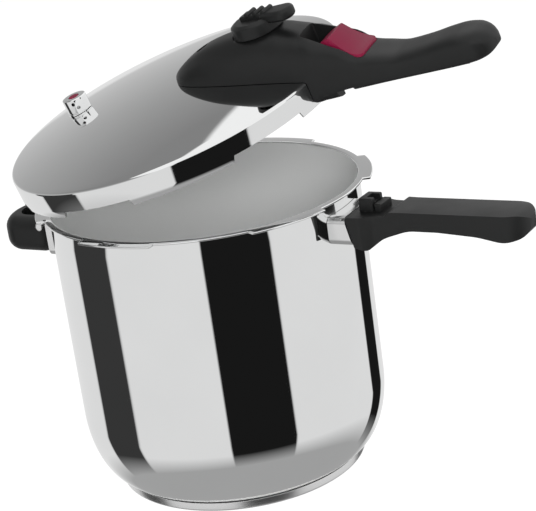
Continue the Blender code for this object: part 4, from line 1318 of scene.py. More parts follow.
@dataclass
class Lid:
    """The domed lid with its notched skirt and six lugs, and the gasket in it."""

    shop: Workshop
    skirt_notch: float = 4.5 * MM
    lug_clearance: float = 1.6 * MM
    lug_thick: float = 1.2 * MM
    lug_gap: float = 1.7 * MM
    lug_span: float = 24.0
    notch_span: float = 25.5
    rings: int = 26

    def __post_init__(self) -> None:
        """Works out how low the lugs and the skirt reach."""
        self.lug_low = -COOKER.seat - COOKER.rim_thick - self.lug_clearance - self.lug_thick
        self.foot = self.lug_low - self.skirt_notch

    def line(self, gap: float = 0.0) -> list[Point]:
        """The outer line from the middle of the dome to the foot of its knuckle, grown by a gap."""
        flat = COOKER.lid_radius - COOKER.knuckle
        radii = [flat * i / self.rings for i in range(self.rings + 1)]
        points = [(radius, COOKER.dome(radius) + gap) for radius in radii]
        centre = (flat, COOKER.dome(flat) - COOKER.knuckle)
        return points + arc(centre, COOKER.knuckle + gap, 60, 0, 6)

    def shell(self) -> Shape:
        """The turned lid: the skirt is notched over each lug, and the lugs are drawn inwards."""
        radius, inside = COOKER.lid_radius, COOKER.lid_radius - COOKER.sheet
        low, foot, top = self.lug_low, self.foot, self.lug_low + self.lug_thick
        down = [(radius, top), (radius, low), (radius, foot + 0.3 * MM), (radius - 0.2 * MM, foot)]
        up = [(inside + 0.2 * MM, foot), (inside, foot + 0.3 * MM), (inside, low), (inside, top)]
        flat = COOKER.lid_radius - COOKER.knuckle
        bend = COOKER.knuckle - COOKER.sheet
        knuckle = arc((flat, COOKER.dome(flat) - COOKER.knuckle), bend, 0, 60, 4)
        radii = [flat * i / self.rings for i in range(self.rings - 1, -1, -1)]
        roof = [(r, COOKER.under(r)) for r in radii]
        shape = turned(self.line() + down + up + knuckle + roof, COOKER.steps)
        for vert in shape.verts:
            if vert.co.z < low - 0.1 * MM and COOKER.near_lug(vert.co, self.notch_span):
                vert.co.z = low - (0.15 * MM if vert.co.z < foot + 0.1 * MM else 0.1 * MM)
        faces = [face for face in shape.faces if self.is_lug(face, inside)]
        grown = bmesh.ops.extrude_face_region(shape, geom=faces)["geom"]
        bmesh.ops.delete(shape, geom=faces, context="FACES_ONLY")
        reach = COOKER.radius + COOKER.rim_reach + self.lug_gap
        for vert in [item for item in grown if isinstance(item, bmesh.types.BMVert)]:
            vert.co.x *= reach / inside
            vert.co.y *= reach / inside
        return shape

    def is_lug(self, face: bmesh.types.BMFace, inside: float) -> bool:
        """Whether a face of the skirt's inner wall becomes the root of a lug."""
        middle = face.calc_center_median()
        on_wall = abs(Vector(middle[:2]).length - inside) < 0.05 * MM
        in_band = self.lug_low < middle.z < self.lug_low + self.lug_thick
        return on_wall and in_band and COOKER.near_lug(middle, self.lug_span)

    def space(self) -> Shape:
        """The space that the lid fills, with a running gap, for what sits on it."""
        radius = COOKER.lid_radius + FIT
        return turned(self.line(FIT) + [(radius, 2 * self.foot), (0.0, 2 * self.foot)], COOKER.steps // 2)

    def gasket(self) -> Shape:
        """The channel-shaped seal, open inwards, between the rim and the dome."""
        outer = COOKER.lid_radius - COOKER.sheet - FIT - 0.1 * MM
        inner = COOKER.radius - 2 * MM
        low, lip = -COOKER.seat + FIT, 2.2 * MM
        section = softened(
            [
                (inner, COOKER.under(inner) - 0.4 * MM - lip), (inner, COOKER.under(inner) - 0.4 * MM),
                (outer - 3.4 * MM, COOKER.under(outer - 3.4 * MM) - 0.4 * MM), (outer - 0.5 * MM, -2.2 * MM),
                (outer, -3.6 * MM), (outer, low + 1.1 * MM), (outer - 1.0 * MM, low),
                (inner + 0.6 * MM, low),
                (inner, low + lip), (outer - 4.2 * MM, low + lip), (outer - lip, low + 1.6 * lip),
                (outer - lip - 0.2 * MM, -1.6 * lip),
                (outer - 4.6 * MM, COOKER.under(outer - 4.6 * MM) - 0.4 * MM - lip),
            ],
            radius=0.5 * MM, steps=2,
        )
        return turned(section, 240)

    def build(self, holes: Sequence[tuple[float, float, float]]) -> None:
        """Makes the lid's pieces.

        Args:
            holes: (x, y, radius) of each hole through the dome.
        """
        tools = [rod(radius, (x, y, -5 * MM), (x, y, 25 * MM)) for x, y, radius in holes]
        self.shop.deliver("lid_dome", cut(self.shell(), *tools), Look.LID_STEEL, Body.LID, "lid_shell", 38)
        self.shop.deliver("lid_gasket", self.gasket(), Look.SILICONE, Body.SEAL, "gasket")


@dataclass
class LidHandle:
    """The long crowned handle on the lid, the plate under its grip and the screws that hold both."""

    shop: Workshop
    lid: Lid
    nose_gap: float = 111.0 * MM
    knob_gap: float = 33.0 * MM
    window: float = 4.5 * MM
    screw_y: float = 12.0 * MM
    sides: int = 64
    rows: int = 120

    # x from the nose, half width, top above the lid's frame, foot above the grip's underside, shoulder
    STATIONS = (
        (0.0, 1.5, 15.5, 20.5, 0.72), (4.0, 7.5, 20.0, 20.5, 0.72), (12.0, 12.0, 25.0, 20.5, 0.72),
        (23.0, 15.5, 30.0, 20.5, 0.72), (36.0, 18.5, 33.8, 19.5, 0.72), (50.0, 20.5, 35.8, 18.5, 0.72),
        (64.0, 21.6, 36.8, 16.5, 0.72), (80.0, 22.0, 36.4, 14.5, 0.72), (94.0, 22.0, 34.6, 8.5, 0.72),
        (105.0, 22.0, 31.0, -2.9, 0.68), (116.0, 21.8, 26.0, -2.9, 0.62), (127.0, 21.0, 20.6, -2.7, 0.55),
        (138.0, 19.8, 15.6, -0.1, 0.48), (148.0, 18.6, 7.2, 0.0, 0.44), (160.0, 17.6, 4.2, 0.0, 0.46),
        (174.0, 17.0, 1.6, 0.0, 0.50), (190.0, 17.0, 2.4, 0.0, 0.52), (206.0, 17.0, 4.2, 0.0, 0.52),
        (216.0, 16.8, 4.9, 0.1, 0.54), (225.0, 15.4, 4.2, 0.4, 0.58), (231.0, 12.6, 2.2, 1.2, 0.64),
        (235.5, 8.0, -1.6, 3.2, 0.70), (237.5, 2.4, -5.2, 6.3, 0.70),
    )

    def __post_init__(self) -> None:
        """Works the places out from the lid and from the pot's handle under it."""
        pot = LongHandle(self.shop)
        seated = COOKER.height + COOKER.seat
        self.nose = COOKER.lid_radius - self.nose_gap
        self.end = pot.end + 3 * MM
        self.grip_low = pot.grip_top + 1.4 * MM - seated
        self.grip = pot.grip
        self.catch, self.sill_end = pot.catch, pot.catch_end + 6.5 * MM
        self.catch_top = COOKER.height - 0.9 * MM - seated
        self.bolt_low = COOKER.height - 3.8 * MM - seated
        self.bolt_start = pot.catch_end + 2 * MM
        self.bolt_end = self.bolt_start + 34.5 * MM
        self.knob_x = COOKER.lid_radius - self.knob_gap
        self.indicator_x = self.knob_x - 50 * MM
        self.screw_x = self.knob_x - 24 * MM
        self.button = COOKER.lid_radius + 7.5 * MM
        self.button_end = self.button + 32.5 * MM
        self.button_floor = 2.5 * MM
        self.cover = (self.bolt_end - 19.5 * MM, self.end - 17.5 * MM)
        self.cover_screw_x = self.cover[1] - 18 * MM
        self.knob_base = COOKER.dome_rise + 22.3 * MM

    def ring(self, x: float, half: float, top: float, foot: float, shoulder: float) -> list[Spot]:
        """One crowned section: full at the sides, rounder on top, nearly flat underneath."""
        middle = foot + (0.42 if x > self.catch else 0.27) * (top - foot)
        points = []
        for i in range(self.sides):
            angle = 2 * math.pi * (i + 0.5) / self.sides
            across, up = math.cos(angle), math.sin(angle)
            power = shoulder if up >= 0 else 0.34
            rise = (top - middle) if up >= 0 else (middle - foot)
            y = half * math.copysign(abs(across) ** power, across)
            points.append((x, y, middle + rise * math.copysign(abs(up) ** power, up)))
        return points

    def button_plan(self, start: float, travel: float = 0.0, gap: float = 0.0) -> list[Point]:
        """The lock slider's outline from above, and that of its pit when it may travel."""
        waist, hip = self.button + 12 * MM, self.button + 24 * MM
        half = [
            (start, 9.2 * MM + gap, 1.5 * MM), (waist - travel, 11.4 * MM + gap, 20 * MM),
            (hip - travel, 13.8 * MM + gap, 12 * MM), (self.button_end + gap, 13.8 * MM + gap, 5 * MM),
        ]
        return softened(half + [(x, -y, bend) for x, y, bend in reversed(half)], steps=6)

    def skin(self) -> Shape:
        """The handle's outer form."""
        span = (self.end - self.nose) / self.STATIONS[-1][0]
        rows = flowing(self.STATIONS, self.rows)
        return lofted(
            [
                self.ring(self.nose + x * span, half * MM, top * MM, self.grip_low + foot * MM, shoulder)
                for x, half, top, foot, shoulder in rows
            ]
        )

    def hollows(self) -> list[Shape]:
        """Everything that is cut out of the handle."""
        above, knob, mark = 2 * self.knob_base, self.knob_x, self.indicator_x
        pit = self.button_plan(self.button - 7.6 * MM, 7 * MM, 0.5 * MM)
        stem = self.button + 19.5 * MM
        tools = [
            self.lid.space(),
            sector(
                self.catch - 1.5 * MM, self.sill_end + 2.5 * MM, -40 * MM, self.catch_top + 0.6 * MM,
                -4.8, 16
            ),
            bar(
                (self.sill_end - 3 * MM, self.grip + 1 * MM), (-40 * MM, 40 * MM),
                (-30 * MM, self.grip_low + 3.2 * MM)
            ),
            slab([(x, y, self.button_floor - FIT) for x, y in pit], (0, 0, 60 * MM)),
            bar(
                (stem - 8 * MM, stem + 13 * MM), (-4.2 * MM, 4.2 * MM),
                (-30 * MM, self.button_floor + 1 * MM)
            ),
            bar((stem + 8 * MM, self.bolt_end + 18.1 * MM), (-9 * MM, 9 * MM), (-30 * MM, -3.5 * MM)),
            bar(
                (self.cover[0] - FIT, self.cover[1] + FIT), (-13 * MM - FIT, 13 * MM + FIT),
                (-30 * MM, self.grip_low + 1.3 * MM + FIT),
            ),
            rod(1.6 * MM + FIT, (self.cover_screw_x, 0, -30 * MM), (self.cover_screw_x, 0, -2.2 * MM)),
            rod(9.3 * MM, (knob, 0, 0), (knob, 0, above)),
            rod(18.5 * MM, (knob, 0, self.knob_base - FIT), (knob, 0, above), 96),
            rod(3.1 * MM, (mark, 0, 0), (mark, 0, above)),
            rod(5.1 * MM, (mark, 0, 0), (mark, 0, COOKER.dome_rise + 8.3 * MM)),
            self.recess(mark),
        ]
        for y in (self.screw_y, -self.screw_y):
            x = self.screw_x
            tools.append(rod(2.5 * MM + FIT, (x, y, 0), (x, y, COOKER.dome_rise + 7.8 * MM)))
        return tools

    def recess(self, x: float) -> Shape:
        """The round dish in the handle's back in which the indicator shows."""
        floor, lip, deep = COOKER.dome_rise + 17.8 * MM, self.window, 8 * MM
        section = [
            (0.0, floor), (lip - 1 * MM, floor), (lip, floor + 1 * MM), (2 * lip, floor + deep),
            (0.0, floor + deep)
        ]
        return turned(section, 48, (x + 1 * MM, 0.0))

    def cover_plate(self) -> Shape:
        """The thin plate that closes the lock's room."""
        low = self.grip_low + 0.1 * MM
        plate = rounded(bar(self.cover, (-13 * MM, 13 * MM), (low, low + 1.2 * MM)), 0.4 * MM, 2)
        x = self.cover_screw_x
        return cut(plate, rod(1.6 * MM + FIT, (x, 0, -30 * MM), (x, 0, 0)))

    def build(self) -> None:
        """Makes the lid handle's pieces."""
        shop = self.shop
        handle = cut(self.skin(), *self.hollows())
        shop.deliver("lid_grip", handle, Look.LID_PLASTIC, Body.LID, "lid_handle", 30)
        shop.deliver("lid_grip_cover", self.cover_plate(), Look.LID_PLASTIC, Body.LID, "lid_handle_cover")
        seat = self.grip_low + 0.1 * MM - FIT
        small = screw_shape(
            (self.cover_screw_x, 0.0), seat, seat + 11.7 * MM, 1.6 * MM, 3.0 * MM, 0.9 * MM
        )
        shop.deliver("cover_plate_screw", small, Look.TURNED_STEEL, Body.LID, "cover_screw")
        for side, y in (("left", self.screw_y), ("right", -self.screw_y)):
            seat = COOKER.under(math.hypot(self.screw_x + 4.3 * MM, self.screw_y)) - FIT
            screw = screw_shape(
                (self.screw_x, y), seat, COOKER.dome_rise + 7.3 * MM, 2.5 * MM, 4.3 * MM, 2.6 * MM
            )
            shop.deliver(f"grip_screw_{side}", screw, Look.TURNED_STEEL, Body.LID, f"lid_screw_{side}")


@dataclass
class Lock:
    """The burgundy slider, the bolt that it drives and the bolt's spring."""

    shop: Workshop
    grip: LidHandle
    half: float = 3.5 * MM
    thick: float = 1.7 * MM
    spring_line: float = -7.6 * MM

    def slider(self) -> Shape:
        """The thumb piece: a hump in front, scooped down to the sides behind it, and a stem below."""
        grip = self.grip
        start, end, floor = grip.button, grip.button_end, grip.button_floor
        side = softened(
            [
                (start, floor, 0.3 * MM), (start, 17.2 * MM, 2.5 * MM), (start + 6 * MM, 20.0 * MM, 8 * MM),
                (start + 12.6 * MM, 22.4 * MM, 1.4 * MM), (start + 19 * MM, 14.8 * MM, 30 * MM),
                (start + 25 * MM, 9.6 * MM, 26 * MM), (end, 7.4 * MM, 1.2 * MM), (end, floor, 0.3 * MM),
            ],
            steps=8,
        )
        body = slab([(x, -20 * MM, z) for x, z in side], (0, 40 * MM, 0))
        plan = grip.button_plan(start - 1 * MM)
        made = rounded(
            common(body, slab([(x, y, -1 * MM) for x, y in plan], (0, 0, 40 * MM))), 0.9 * MM, 3, 40
        )
        x = start + 19.5 * MM
        stem = bar(
            (x, x + 10 * MM), (-self.half, self.half), (grip.bolt_low + self.thick + FIT, floor + 3 * MM)
        )
        return joined(made, stem)

    def bolt(self) -> Shape:
        """The flat bolt with the upstand that the spring pushes."""
        grip = self.grip
        flat = bar(
            (grip.bolt_start, grip.bolt_end), (-self.half, self.half),
            (grip.bolt_low, grip.bolt_low + self.thick)
        )
        upstand = bar(
            (grip.bolt_end - 2 * MM, grip.bolt_end + 0.01 * MM), (-6 * MM, 6 * MM),
            (grip.bolt_low - 0.1 * MM, self.spring_line + 3 * MM),
        )
        return joined(flat, upstand)

    def build(self) -> None:
        """Makes the lock's pieces."""
        shop, grip = self.shop, self.grip
        shop.deliver("lock_slider", self.slider(), Look.BURGUNDY, Body.LOCK, "lock_button", 30)
        shop.deliver("lock_tongue", self.bolt(), Look.TURNED_STEEL, Body.LOCK, "lock_bolt")
        start = (grip.bolt_end + FIT, 0.0, self.spring_line)
        end = (grip.bolt_end + 18.1 * MM - FIT, 0.0, self.spring_line)
        spring = shop.spring("lock_coil", "lock_spring", 2.4 * MM, 0.8 * MM, 6, start, end, None)
        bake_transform(spring)


@dataclass
class OperatingValve:
    """The valve under the selector: body, nut, sprung plunger and the black selector knob."""

    shop: Workshop
    grip: LidHandle
    shank: float = 5.6 * MM
    bore: float = 2.9 * MM
    foot: float = -6.0 * MM
    knob_radius: float = 17.5 * MM
    disc: float = 9.5 * MM
    lever: float = 3.0 * MM
    lever_thick: float = 7.6 * MM
    pointer: float = -8.0

    def body(self) -> Shape:
        """The flanged body, with threads on its shank below the lid."""
        x = self.grip.knob_x
        seat, top = COOKER.dome(x), COOKER.dome_rise + 10.8 * MM
        section = [
            (self.bore, self.foot), (self.bore, top), (6.0 * MM, top), (6.8 * MM, top - 1 * MM),
            (6.8 * MM, seat + 5 * MM), (8.4 * MM, seat + 5 * MM), (8.4 * MM, seat - 1.8 * MM),
            (self.shank, seat - 1.8 * MM),
        ]
        thread = [(self.shank - (0.35 * MM if i % 2 else 0.0), -1 * MM - 0.5 * MM * i) for i in range(9)]
        section += thread + [(self.shank, self.foot + 0.4 * MM), (self.shank - 0.4 * MM, self.foot)]
        core = rod(self.shank + 0.01 * MM, (x, 0, -60 * MM), (x, 0, 40 * MM))
        return cut(turned(section, 72, (x, 0.0)), cut(self.grip.lid.space(), core))

    def plunger(self) -> Shape:
        """The plunger, with a collar for its spring and a spigot inside it."""
        top = COOKER.dome_rise + 10.8 * MM + FIT
        section = softened(
            [
                (0.0, top + 5.0 * MM, 0), (1.6 * MM, top + 5.0 * MM, 0.4 * MM),
                (1.6 * MM, top + 2.5 * MM, 0),
                (4.4 * MM, top + 2.5 * MM, 0.3 * MM), (4.4 * MM, top, 0.3 * MM),
                (self.bore - 0.5 * MM, top, 0),
                (self.bore - 0.5 * MM, self.foot + 2 * MM, 0.5 * MM), (0.0, self.foot + 2 * MM, 0),
            ],
            closed=False,
        )
        return turned(section, 64, (self.grip.knob_x, 0.0))

    def knob(self) -> Shape:
        """The disc with a raised lever across it, finger teeth on the lever and a tail past the rim."""
        grip, radius = self.grip, self.knob_radius
        x, base = grip.knob_x, grip.knob_base
        top = base + self.disc
        roof, stem_low = top - 2.5 * MM, COOKER.dome_rise + 12.3 * MM
        section = softened(
            [
                (0.0, top, 0), (radius - 3.6 * MM, top, 3 * MM),
                (radius - 0.4 * MM, top - 1.7 * MM, 1.4 * MM),
                (radius, base, 0.8 * MM), (8.7 * MM, base, 0), (8.7 * MM, stem_low, 0.4 * MM),
                (5.4 * MM, stem_low, 0), (5.4 * MM, roof, 0), (0.0, roof, 0),
            ],
            closed=False,
        )
        made = turned(section, 128, (x, 0.0))
        high = top + self.lever
        head = 8 * MM
        reach = x + radius + 15.5 * MM
        tail = arc((reach - head, 0.0), head, -90, 90, 20)
        plan = [(x + 8.7 * MM, -0.8 * head)] + tail + [(x + 8.7 * MM, 0.8 * head)]
        paddle = slab([(px, py, high - self.lever_thick) for px, py in plan], (0, 0, self.lever_thick))
        ridge = bar((x - 8 * MM, x + 9.7 * MM), (-5 * MM, 5 * MM), (top - 1 * MM, high - 0.1 * MM))
        parts = [rounded(paddle, 2.6 * MM, 5), rounded(ridge, 0.8 * MM, 3)]
        for i in range(3):
            place = x + (7 * i - 1) * MM
            parts.append(
                rounded(rod(1.8 * MM, (place, -5.2 * MM, high),
                (place, 5.2 * MM, high), 24), 0.4 * MM, 2, 60)
            )
        return joined(made, *[swung(part, x, self.pointer) for part in parts])

    def build(self) -> None:
        """Makes the operating valve's pieces."""
        shop, x = self.shop, self.grip.knob_x
        shop.deliver("steam_valve_body", self.body(), Look.TURNED_BRASS, Body.LID, "valve_body")
        top = COOKER.under(x + 9 * MM) - FIT
        nut = nut_shape((x, 0.0), top - 4 * MM, top, 15 * MM, self.shank + FIT)
        shop.deliver("steam_valve_nut", nut, Look.TURNED_STEEL, Body.LID, "valve_nut")
        shop.deliver("steam_plunger", self.plunger(), Look.TURNED_STEEL, Body.PLUNGER, "valve_plunger")
        shop.deliver("pressure_selector", self.knob(), Look.LID_PLASTIC, Body.SELECTOR, "selector_knob", 30)
        low = COOKER.dome_rise + 10.8 * MM + 2.5 * MM + 2 * FIT
        high = self.grip.knob_base + self.disc - 2.5 * MM - FIT
        start, end = (x, 0.0, low), (x, 0.0, high)
        spring = shop.spring("steam_coil", "valve_spring", 3.2 * MM, 0.8 * MM, 4, start, end)
        shop.pressed(spring, "plunger_lift", 3 * MM, start, end)


@dataclass
class Indicator:
    """The pin that rises under pressure, with its seal."""

    shop: Workshop
    grip: LidHandle
    radius: float = 2.7 * MM
    collar: float = 4.6 * MM
    lift: float = 6.0 * MM

    def build(self) -> None:
        """Makes the indicator's pieces."""
        x, rise = self.grip.indicator_x, COOKER.dome_rise
        top, collar_top = rise + 14.3 * MM, rise + 1.5 * MM
        seat = COOKER.dome(x - self.collar) + FIT
        head = COOKER.under(x + 5 * MM) - self.lift - 2.2 * MM
        section = softened(
            [
                (0.0, top, 0), (self.radius, top, 1.2 * MM), (self.radius, collar_top, 0),
                (self.collar, collar_top, 0.3 * MM), (self.collar, seat, 0.2 * MM), (self.radius, seat, 0),
                (self.radius, head, 0), (self.collar, head, 0.3 * MM),
                (self.collar, head - 1.8 * MM, 0.8 * MM),
                (0.0, head - 1.8 * MM, 0),
            ],
            closed=False,
        )
        pin = turned(section, 64, (x, 0.0))
        self.shop.deliver("rising_pin", pin, Look.BURGUNDY, Body.INDICATOR, "indicator_pin")
        ring = softened(
            [
                (self.radius + FIT, head + FIT), (self.radius + FIT, head + 1.8 * MM),
                (5.0 * MM, head + 1.8 * MM), (5.4 * MM, head + FIT),
            ],
            radius=0.4 * MM, steps=3,
        )
        seal = turned(ring, 64, (x, 0.0))
        self.shop.deliver("rising_pin_seal", seal, Look.SILICONE, Body.INDICATOR, "indicator_seal")


@dataclass
class SafetyValve:
    """The overpressure valve: drilled body, nut, sprung stem and its burgundy button."""

    shop: Workshop
    lid: Lid
    gap: float = 44.0 * MM
    radius: float = 8.8 * MM
    shank: float = 5.0 * MM
    foot: float = -4.0 * MM

    def __post_init__(self) -> None:
        """Works the heights out from the dome."""
        self.x = self.gap - COOKER.lid_radius
        self.top = COOKER.dome_rise + 6.9 * MM
        self.seat = COOKER.dome(-self.x)
        self.floor = self.seat + 3.8 * MM
        self.roof = self.top - 1.3 * MM

    def body(self) -> Shape:
        """The polished barrel with its side vents."""
        section = softened(
            [
                (2.6 * MM, self.foot, 0), (2.6 * MM, self.floor, 0), (6.6 * MM, self.floor, 0),
                (6.6 * MM, self.roof, 0), (4.2 * MM, self.roof, 0), (4.2 * MM, self.top, 0.2 * MM),
                (self.radius, self.top, 0.9 * MM), (self.radius, self.seat + 2.4 * MM, 0.2 * MM),
                (self.radius - 0.5 * MM, self.seat + 2.1 * MM, 0),
                (self.radius - 0.5 * MM, self.seat + 1.6 * MM, 0),
                (self.radius, self.seat + 1.3 * MM, 0.2 * MM), (self.radius, self.seat - 1.8 * MM, 0),
                (self.shank, self.seat - 1.8 * MM, 0), (self.shank, self.foot, 0.4 * MM),
            ]
        )
        made = turned(section, 128, (self.x, 0.0))
        core = rod(self.shank + 0.01 * MM, (self.x, 0, -60 * MM), (self.x, 0, 40 * MM))
        tools = [cut(self.lid.space(), core)]
        for heading, height in ((-68, 5.0), (-50, 1.6), (112, 5.0)):
            turn = math.radians(heading)
            along = Vector((math.cos(turn), math.sin(turn), 0.0))
            start = Vector((self.x, 0.0, self.floor + height * MM))
            tools.append(rod(1.3 * MM, start + along * 5 * MM, start + along * 12 * MM, 32))
        return cut(made, *tools)

    def build(self) -> None:
        """Makes the safety valve's pieces."""
        shop, at = self.shop, (self.x, 0.0)
        shop.deliver("relief_barrel", self.body(), Look.LID_STEEL, Body.LID, "safety_body", 30)
        top = COOKER.under(-self.x + 8 * MM) - FIT
        nut = nut_shape(at, top - 4 * MM, top, 14 * MM, self.shank + FIT)
        shop.deliver("relief_nut", nut, Look.TURNED_STEEL, Body.LID, "safety_nut")
        head = self.floor + FIT
        stem = softened(
            [
                (0.0, self.roof - 1 * MM, 0), (2.2 * MM, self.roof - 1 * MM, 0.3 * MM),
                (2.2 * MM, head + 1.5 * MM, 0),
                (5.8 * MM, head + 1.5 * MM, 0.2 * MM), (5.8 * MM, head, 0.2 * MM), (2.2 * MM, head, 0),
                (2.2 * MM, self.foot + 1 * MM, 0.5 * MM), (0.0, self.foot + 1 * MM, 0),
            ],
            closed=False,
        )
        shop.deliver("relief_stem", turned(stem, 64, at), Look.TURNED_STEEL, Body.RELIEF, "safety_stem")
        low = self.roof - 1 * MM + FIT
        button = softened(
            [(
                0.0, self.top + 0.4 * MM, 0
            ), (3.7 * MM, self.top + 0.4 * MM, 0.9 * MM), (3.7 * MM, low, 0), (0.0, low, 0)],
            closed=False,
        )
        shop.deliver("relief_button", turned(button, 64, at), Look.BURGUNDY, Body.RELIEF, "safety_button")
        start, end = (self.x, 0.0, head + 1.5 * MM + FIT), (self.x, 0.0, self.roof - FIT)
        spring = shop.spring("relief_coil", "safety_spring", 5.2 * MM, 0.7 * MM, 3, start, end)
        shop.pressed(spring, "relief_lift", 2.5 * MM, start, end)


# ---------------------------------------------------------------- the studio


@dataclass
class Studio:
    """Camera, pale floor, soft lamps, and a light tent with three flags that polished steel shows."""

    eye: Spot = (0.6645, -1.0004, 0.5662)
    aim: Spot = (0.0324, 0.0201, 0.1507)
    roll: float = -8.2036
    lens: float = 119.53
    key: float = 9.0
    fill: float = 3.0
    front: float = 21.0
    ambient: float = 0.55

    # three upright dark flags in a light tent: first heading, last heading, brightness
    FLAGS = ((-175.0, -140.0, 0.04), (-65.0, -15.0, 0.01), (70.0, 90.0, 0.01))
    TENT = 0.8
    GROUND = 0.4
    BACKDROP = ((0.0, 0.6), (0.6, 0.25))
    SOFTBOX_EDGE = (0.8, 0.15, 0.6)
    SOFT = 1.0

    def camera(self) -> None:
        """The camera, aimed and then rolled about its own line of sight."""
        data = bpy.data.cameras.new("camera")
        data.lens = self.lens
        data.sensor_width = 36.0
        data.clip_start, data.clip_end = 0.05, 50.0
        made = bpy.data.objects.new("camera", data)
        look = (Vector(self.aim) - Vector(self.eye)).to_track_quat("-Z", "Y")
        turn = Matrix.Rotation(math.radians(self.roll), 4, "Z")
        made.matrix_world = Matrix.Translation(self.eye) @ look.to_matrix().to_4x4() @ turn
        bpy.context.scene.collection.objects.link(made)
        bpy.context.scene.camera = made

    def floor(self) -> None:
        """A wide pale floor that keeps the cooker's soft shadow."""
        shape = bmesh.new()
        bmesh.ops.create_grid(shape, x_segments=1, y_segments=1, size=6.0)
        mesh = bpy.data.meshes.new("floor")
        shape.to_mesh(mesh)
        shape.free()
        made = bpy.data.materials.new("floor")
        made.use_nodes = True
        graph = Graph(made.node_tree)
        matt = graph.feed(graph.add("BsdfDiffuse"), Color=(0.86, 0.86, 0.86, 1.0))
        glow = graph.feed(graph.add("Emission"), Color=(1.0, 1.0, 1.0, 1.0), Strength=1.18)
        mix = graph.add("MixShader")
        seen = graph.add("LightPath").outputs["Is Camera Ray"]
        graph.join(graph.sum("MULTIPLY", seen, 0.75), mix.inputs[0])
        graph.join(matt.outputs[0], mix.inputs[1])
        graph.join(glow.outputs[0], mix.inputs[2])
        graph.join(mix.outputs[0], graph.add("OutputMaterial").inputs[0])
        mesh.materials.append(made)
        plane = bpy.data.objects.new("floor", mesh)
        plane.location.z = -0.0002
        plane.visible_glossy = False
        bpy.context.scene.collection.objects.link(plane)

    def lamp(self, name: str, spot: Spot, size: float, power: float) -> None:
        """A square soft lamp aimed at the cooker.

        Args:
            name: Its name.
            spot: Where it hangs.
            size: Its side.
            power: Its power in watts.
        """
        data = bpy.data.lights.new(name, "AREA")
        data.size = size
        data.energy = power
        made = bpy.data.objects.new(name, data)
        made.location = spot
        made.rotation_euler = (Vector(self.aim) - Vector(spot)).to_track_quat("-Z", "Y").to_euler()
        made.visible_glossy = False
        bpy.context.scene.collection.objects.link(made)

    def world(self) -> None:
        """White to the camera, panels and backdrop to polished faces, even soft light to the rest."""
        world = bpy.data.worlds.new("studio")
        bpy.context.scene.world = world
        world.use_nodes = True
        graph = Graph(world.node_tree)
        way = graph.add("TexCoord").outputs["Generated"]
        parts = graph.add("SeparateXYZ")
        graph.join(way, parts.inputs[0])
        x, y, z = parts.outputs
        heading = graph.sum("MULTIPLY_ADD", graph.sum("ARCTAN2", y, x), 0.5 / math.pi, 0.5)
        stops = []
        for first, last, level in self.FLAGS:
            corners = (
                (first - self.SOFT, self.TENT), (first, level), (last, level),
                (last + self.SOFT, self.TENT)
            )
            stops += [((place + 180) / 360, tone) for place, tone in corners]
        panels = graph.ramp(heading, stops)
        ground = (self.GROUND, self.GROUND, self.GROUND, 1.0)
        sky = graph.ramp(z, self.BACKDROP)
        edge = graph.add("VectorMath", operation="DOT_PRODUCT")
        graph.join(way, edge.inputs[0])
        edge.inputs[1].default_value = self.SOFTBOX_EDGE
        box = graph.spread(edge.outputs["Value"], 0.0, 1.0, -0.007, 0.007)
        above = self.blend(graph, box, sky, (1.0, 1.0, 1.0, 1.0))
        low = self.blend(graph, graph.spread(z, 1.0, 0.0, -0.68, -0.52), panels, ground)
        studio = self.blend(graph, graph.spread(z, 0.0, 1.0, -0.01, 0.03), low, above)
        path = graph.add("LightPath")
        polished = graph.feed(graph.add("Background"), Color=studio, Strength=1.0)
        even = graph.feed(graph.add("Background"), Color=(1, 1, 1, 1), Strength=self.ambient)
        white = graph.feed(graph.add("Background"), Color=(1, 1, 1, 1), Strength=1.0)
        first, second = graph.add("MixShader"), graph.add("MixShader")
        shown = graph.sum("MAXIMUM", path.outputs["Is Glossy Ray"], path.outputs["Is Transmission Ray"])
        graph.join(shown, first.inputs[0])
        graph.join(even.outputs[0], first.inputs[1])
        graph.join(polished.outputs[0], first.inputs[2])
        graph.join(path.outputs["Is Camera Ray"], second.inputs[0])
        graph.join(first.outputs[0], second.inputs[1])
        graph.join(white.outputs[0], second.inputs[2])
        graph.join(second.outputs[0], graph.add("OutputWorld").inputs[0])

    def blend(self, graph: Graph, share: Socket, low: object, high: object) -> Socket:
        """A mix of two colours.

        Args:
            graph: The graph to add to.
            share: How much of the second.
            low: The first colour or output.
            high: The second colour or output.

        Returns:
            The mixed colour.
        """
        return graph.feed(graph.add("MixRGB"), Fac=share, Color1=low, Color2=high).outputs[0]

    def build(self) -> None:
        """Sets the studio up."""
        bpy.context.scene.view_settings.view_transform = "Standard"
        self.camera()
        self.floor()
        self.lamp("key_lamp", (-0.9, -0.9, 1.6), 1.2, self.key)
        self.lamp("fill_lamp", (1.3, -0.3, 1.1), 1.0, self.fill)
        self.lamp("front_lamp", (0.80, -1.15, 0.72), 0.5, self.front)
        self.world()
        LOG.info("studio: camera, floor, three lamps, tent and flags")


def main() -> None:
    """Builds every sub-assembly in order."""
    logging.basicConfig(level=logging.INFO, format="%(message)s")
    Studio().build()
    shop = Workshop()
    Vessel(shop).build()
    LongHandle(shop).build()
    ShortHandle(shop).build()
    lid = Lid(shop)
    grip = LidHandle(shop, lid)
    safety = SafetyValve(shop, lid)
    lid.build(
        [
            (grip.knob_x, 0.0, 5.6 * MM + FIT), (grip.indicator_x, 0.0, 2.7 * MM + FIT),
            (safety.x, 0.0, safety.shank + FIT), (grip.screw_x, grip.screw_y, 2.5 * MM + FIT),
            (grip.screw_x, -grip.screw_y, 2.5 * MM + FIT),
        ]
    )
    grip.build()
    Lock(shop, grip).build()
    OperatingValve(shop, grip).build()
    Indicator(shop, grip).build()
    safety.build()


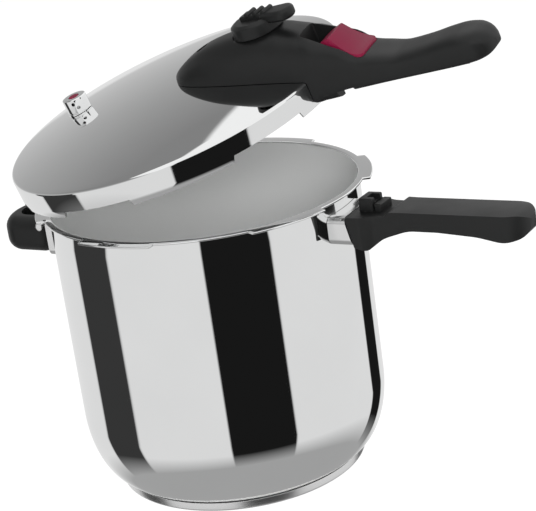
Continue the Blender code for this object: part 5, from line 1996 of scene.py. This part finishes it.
if __name__ == "__main__":
    main()
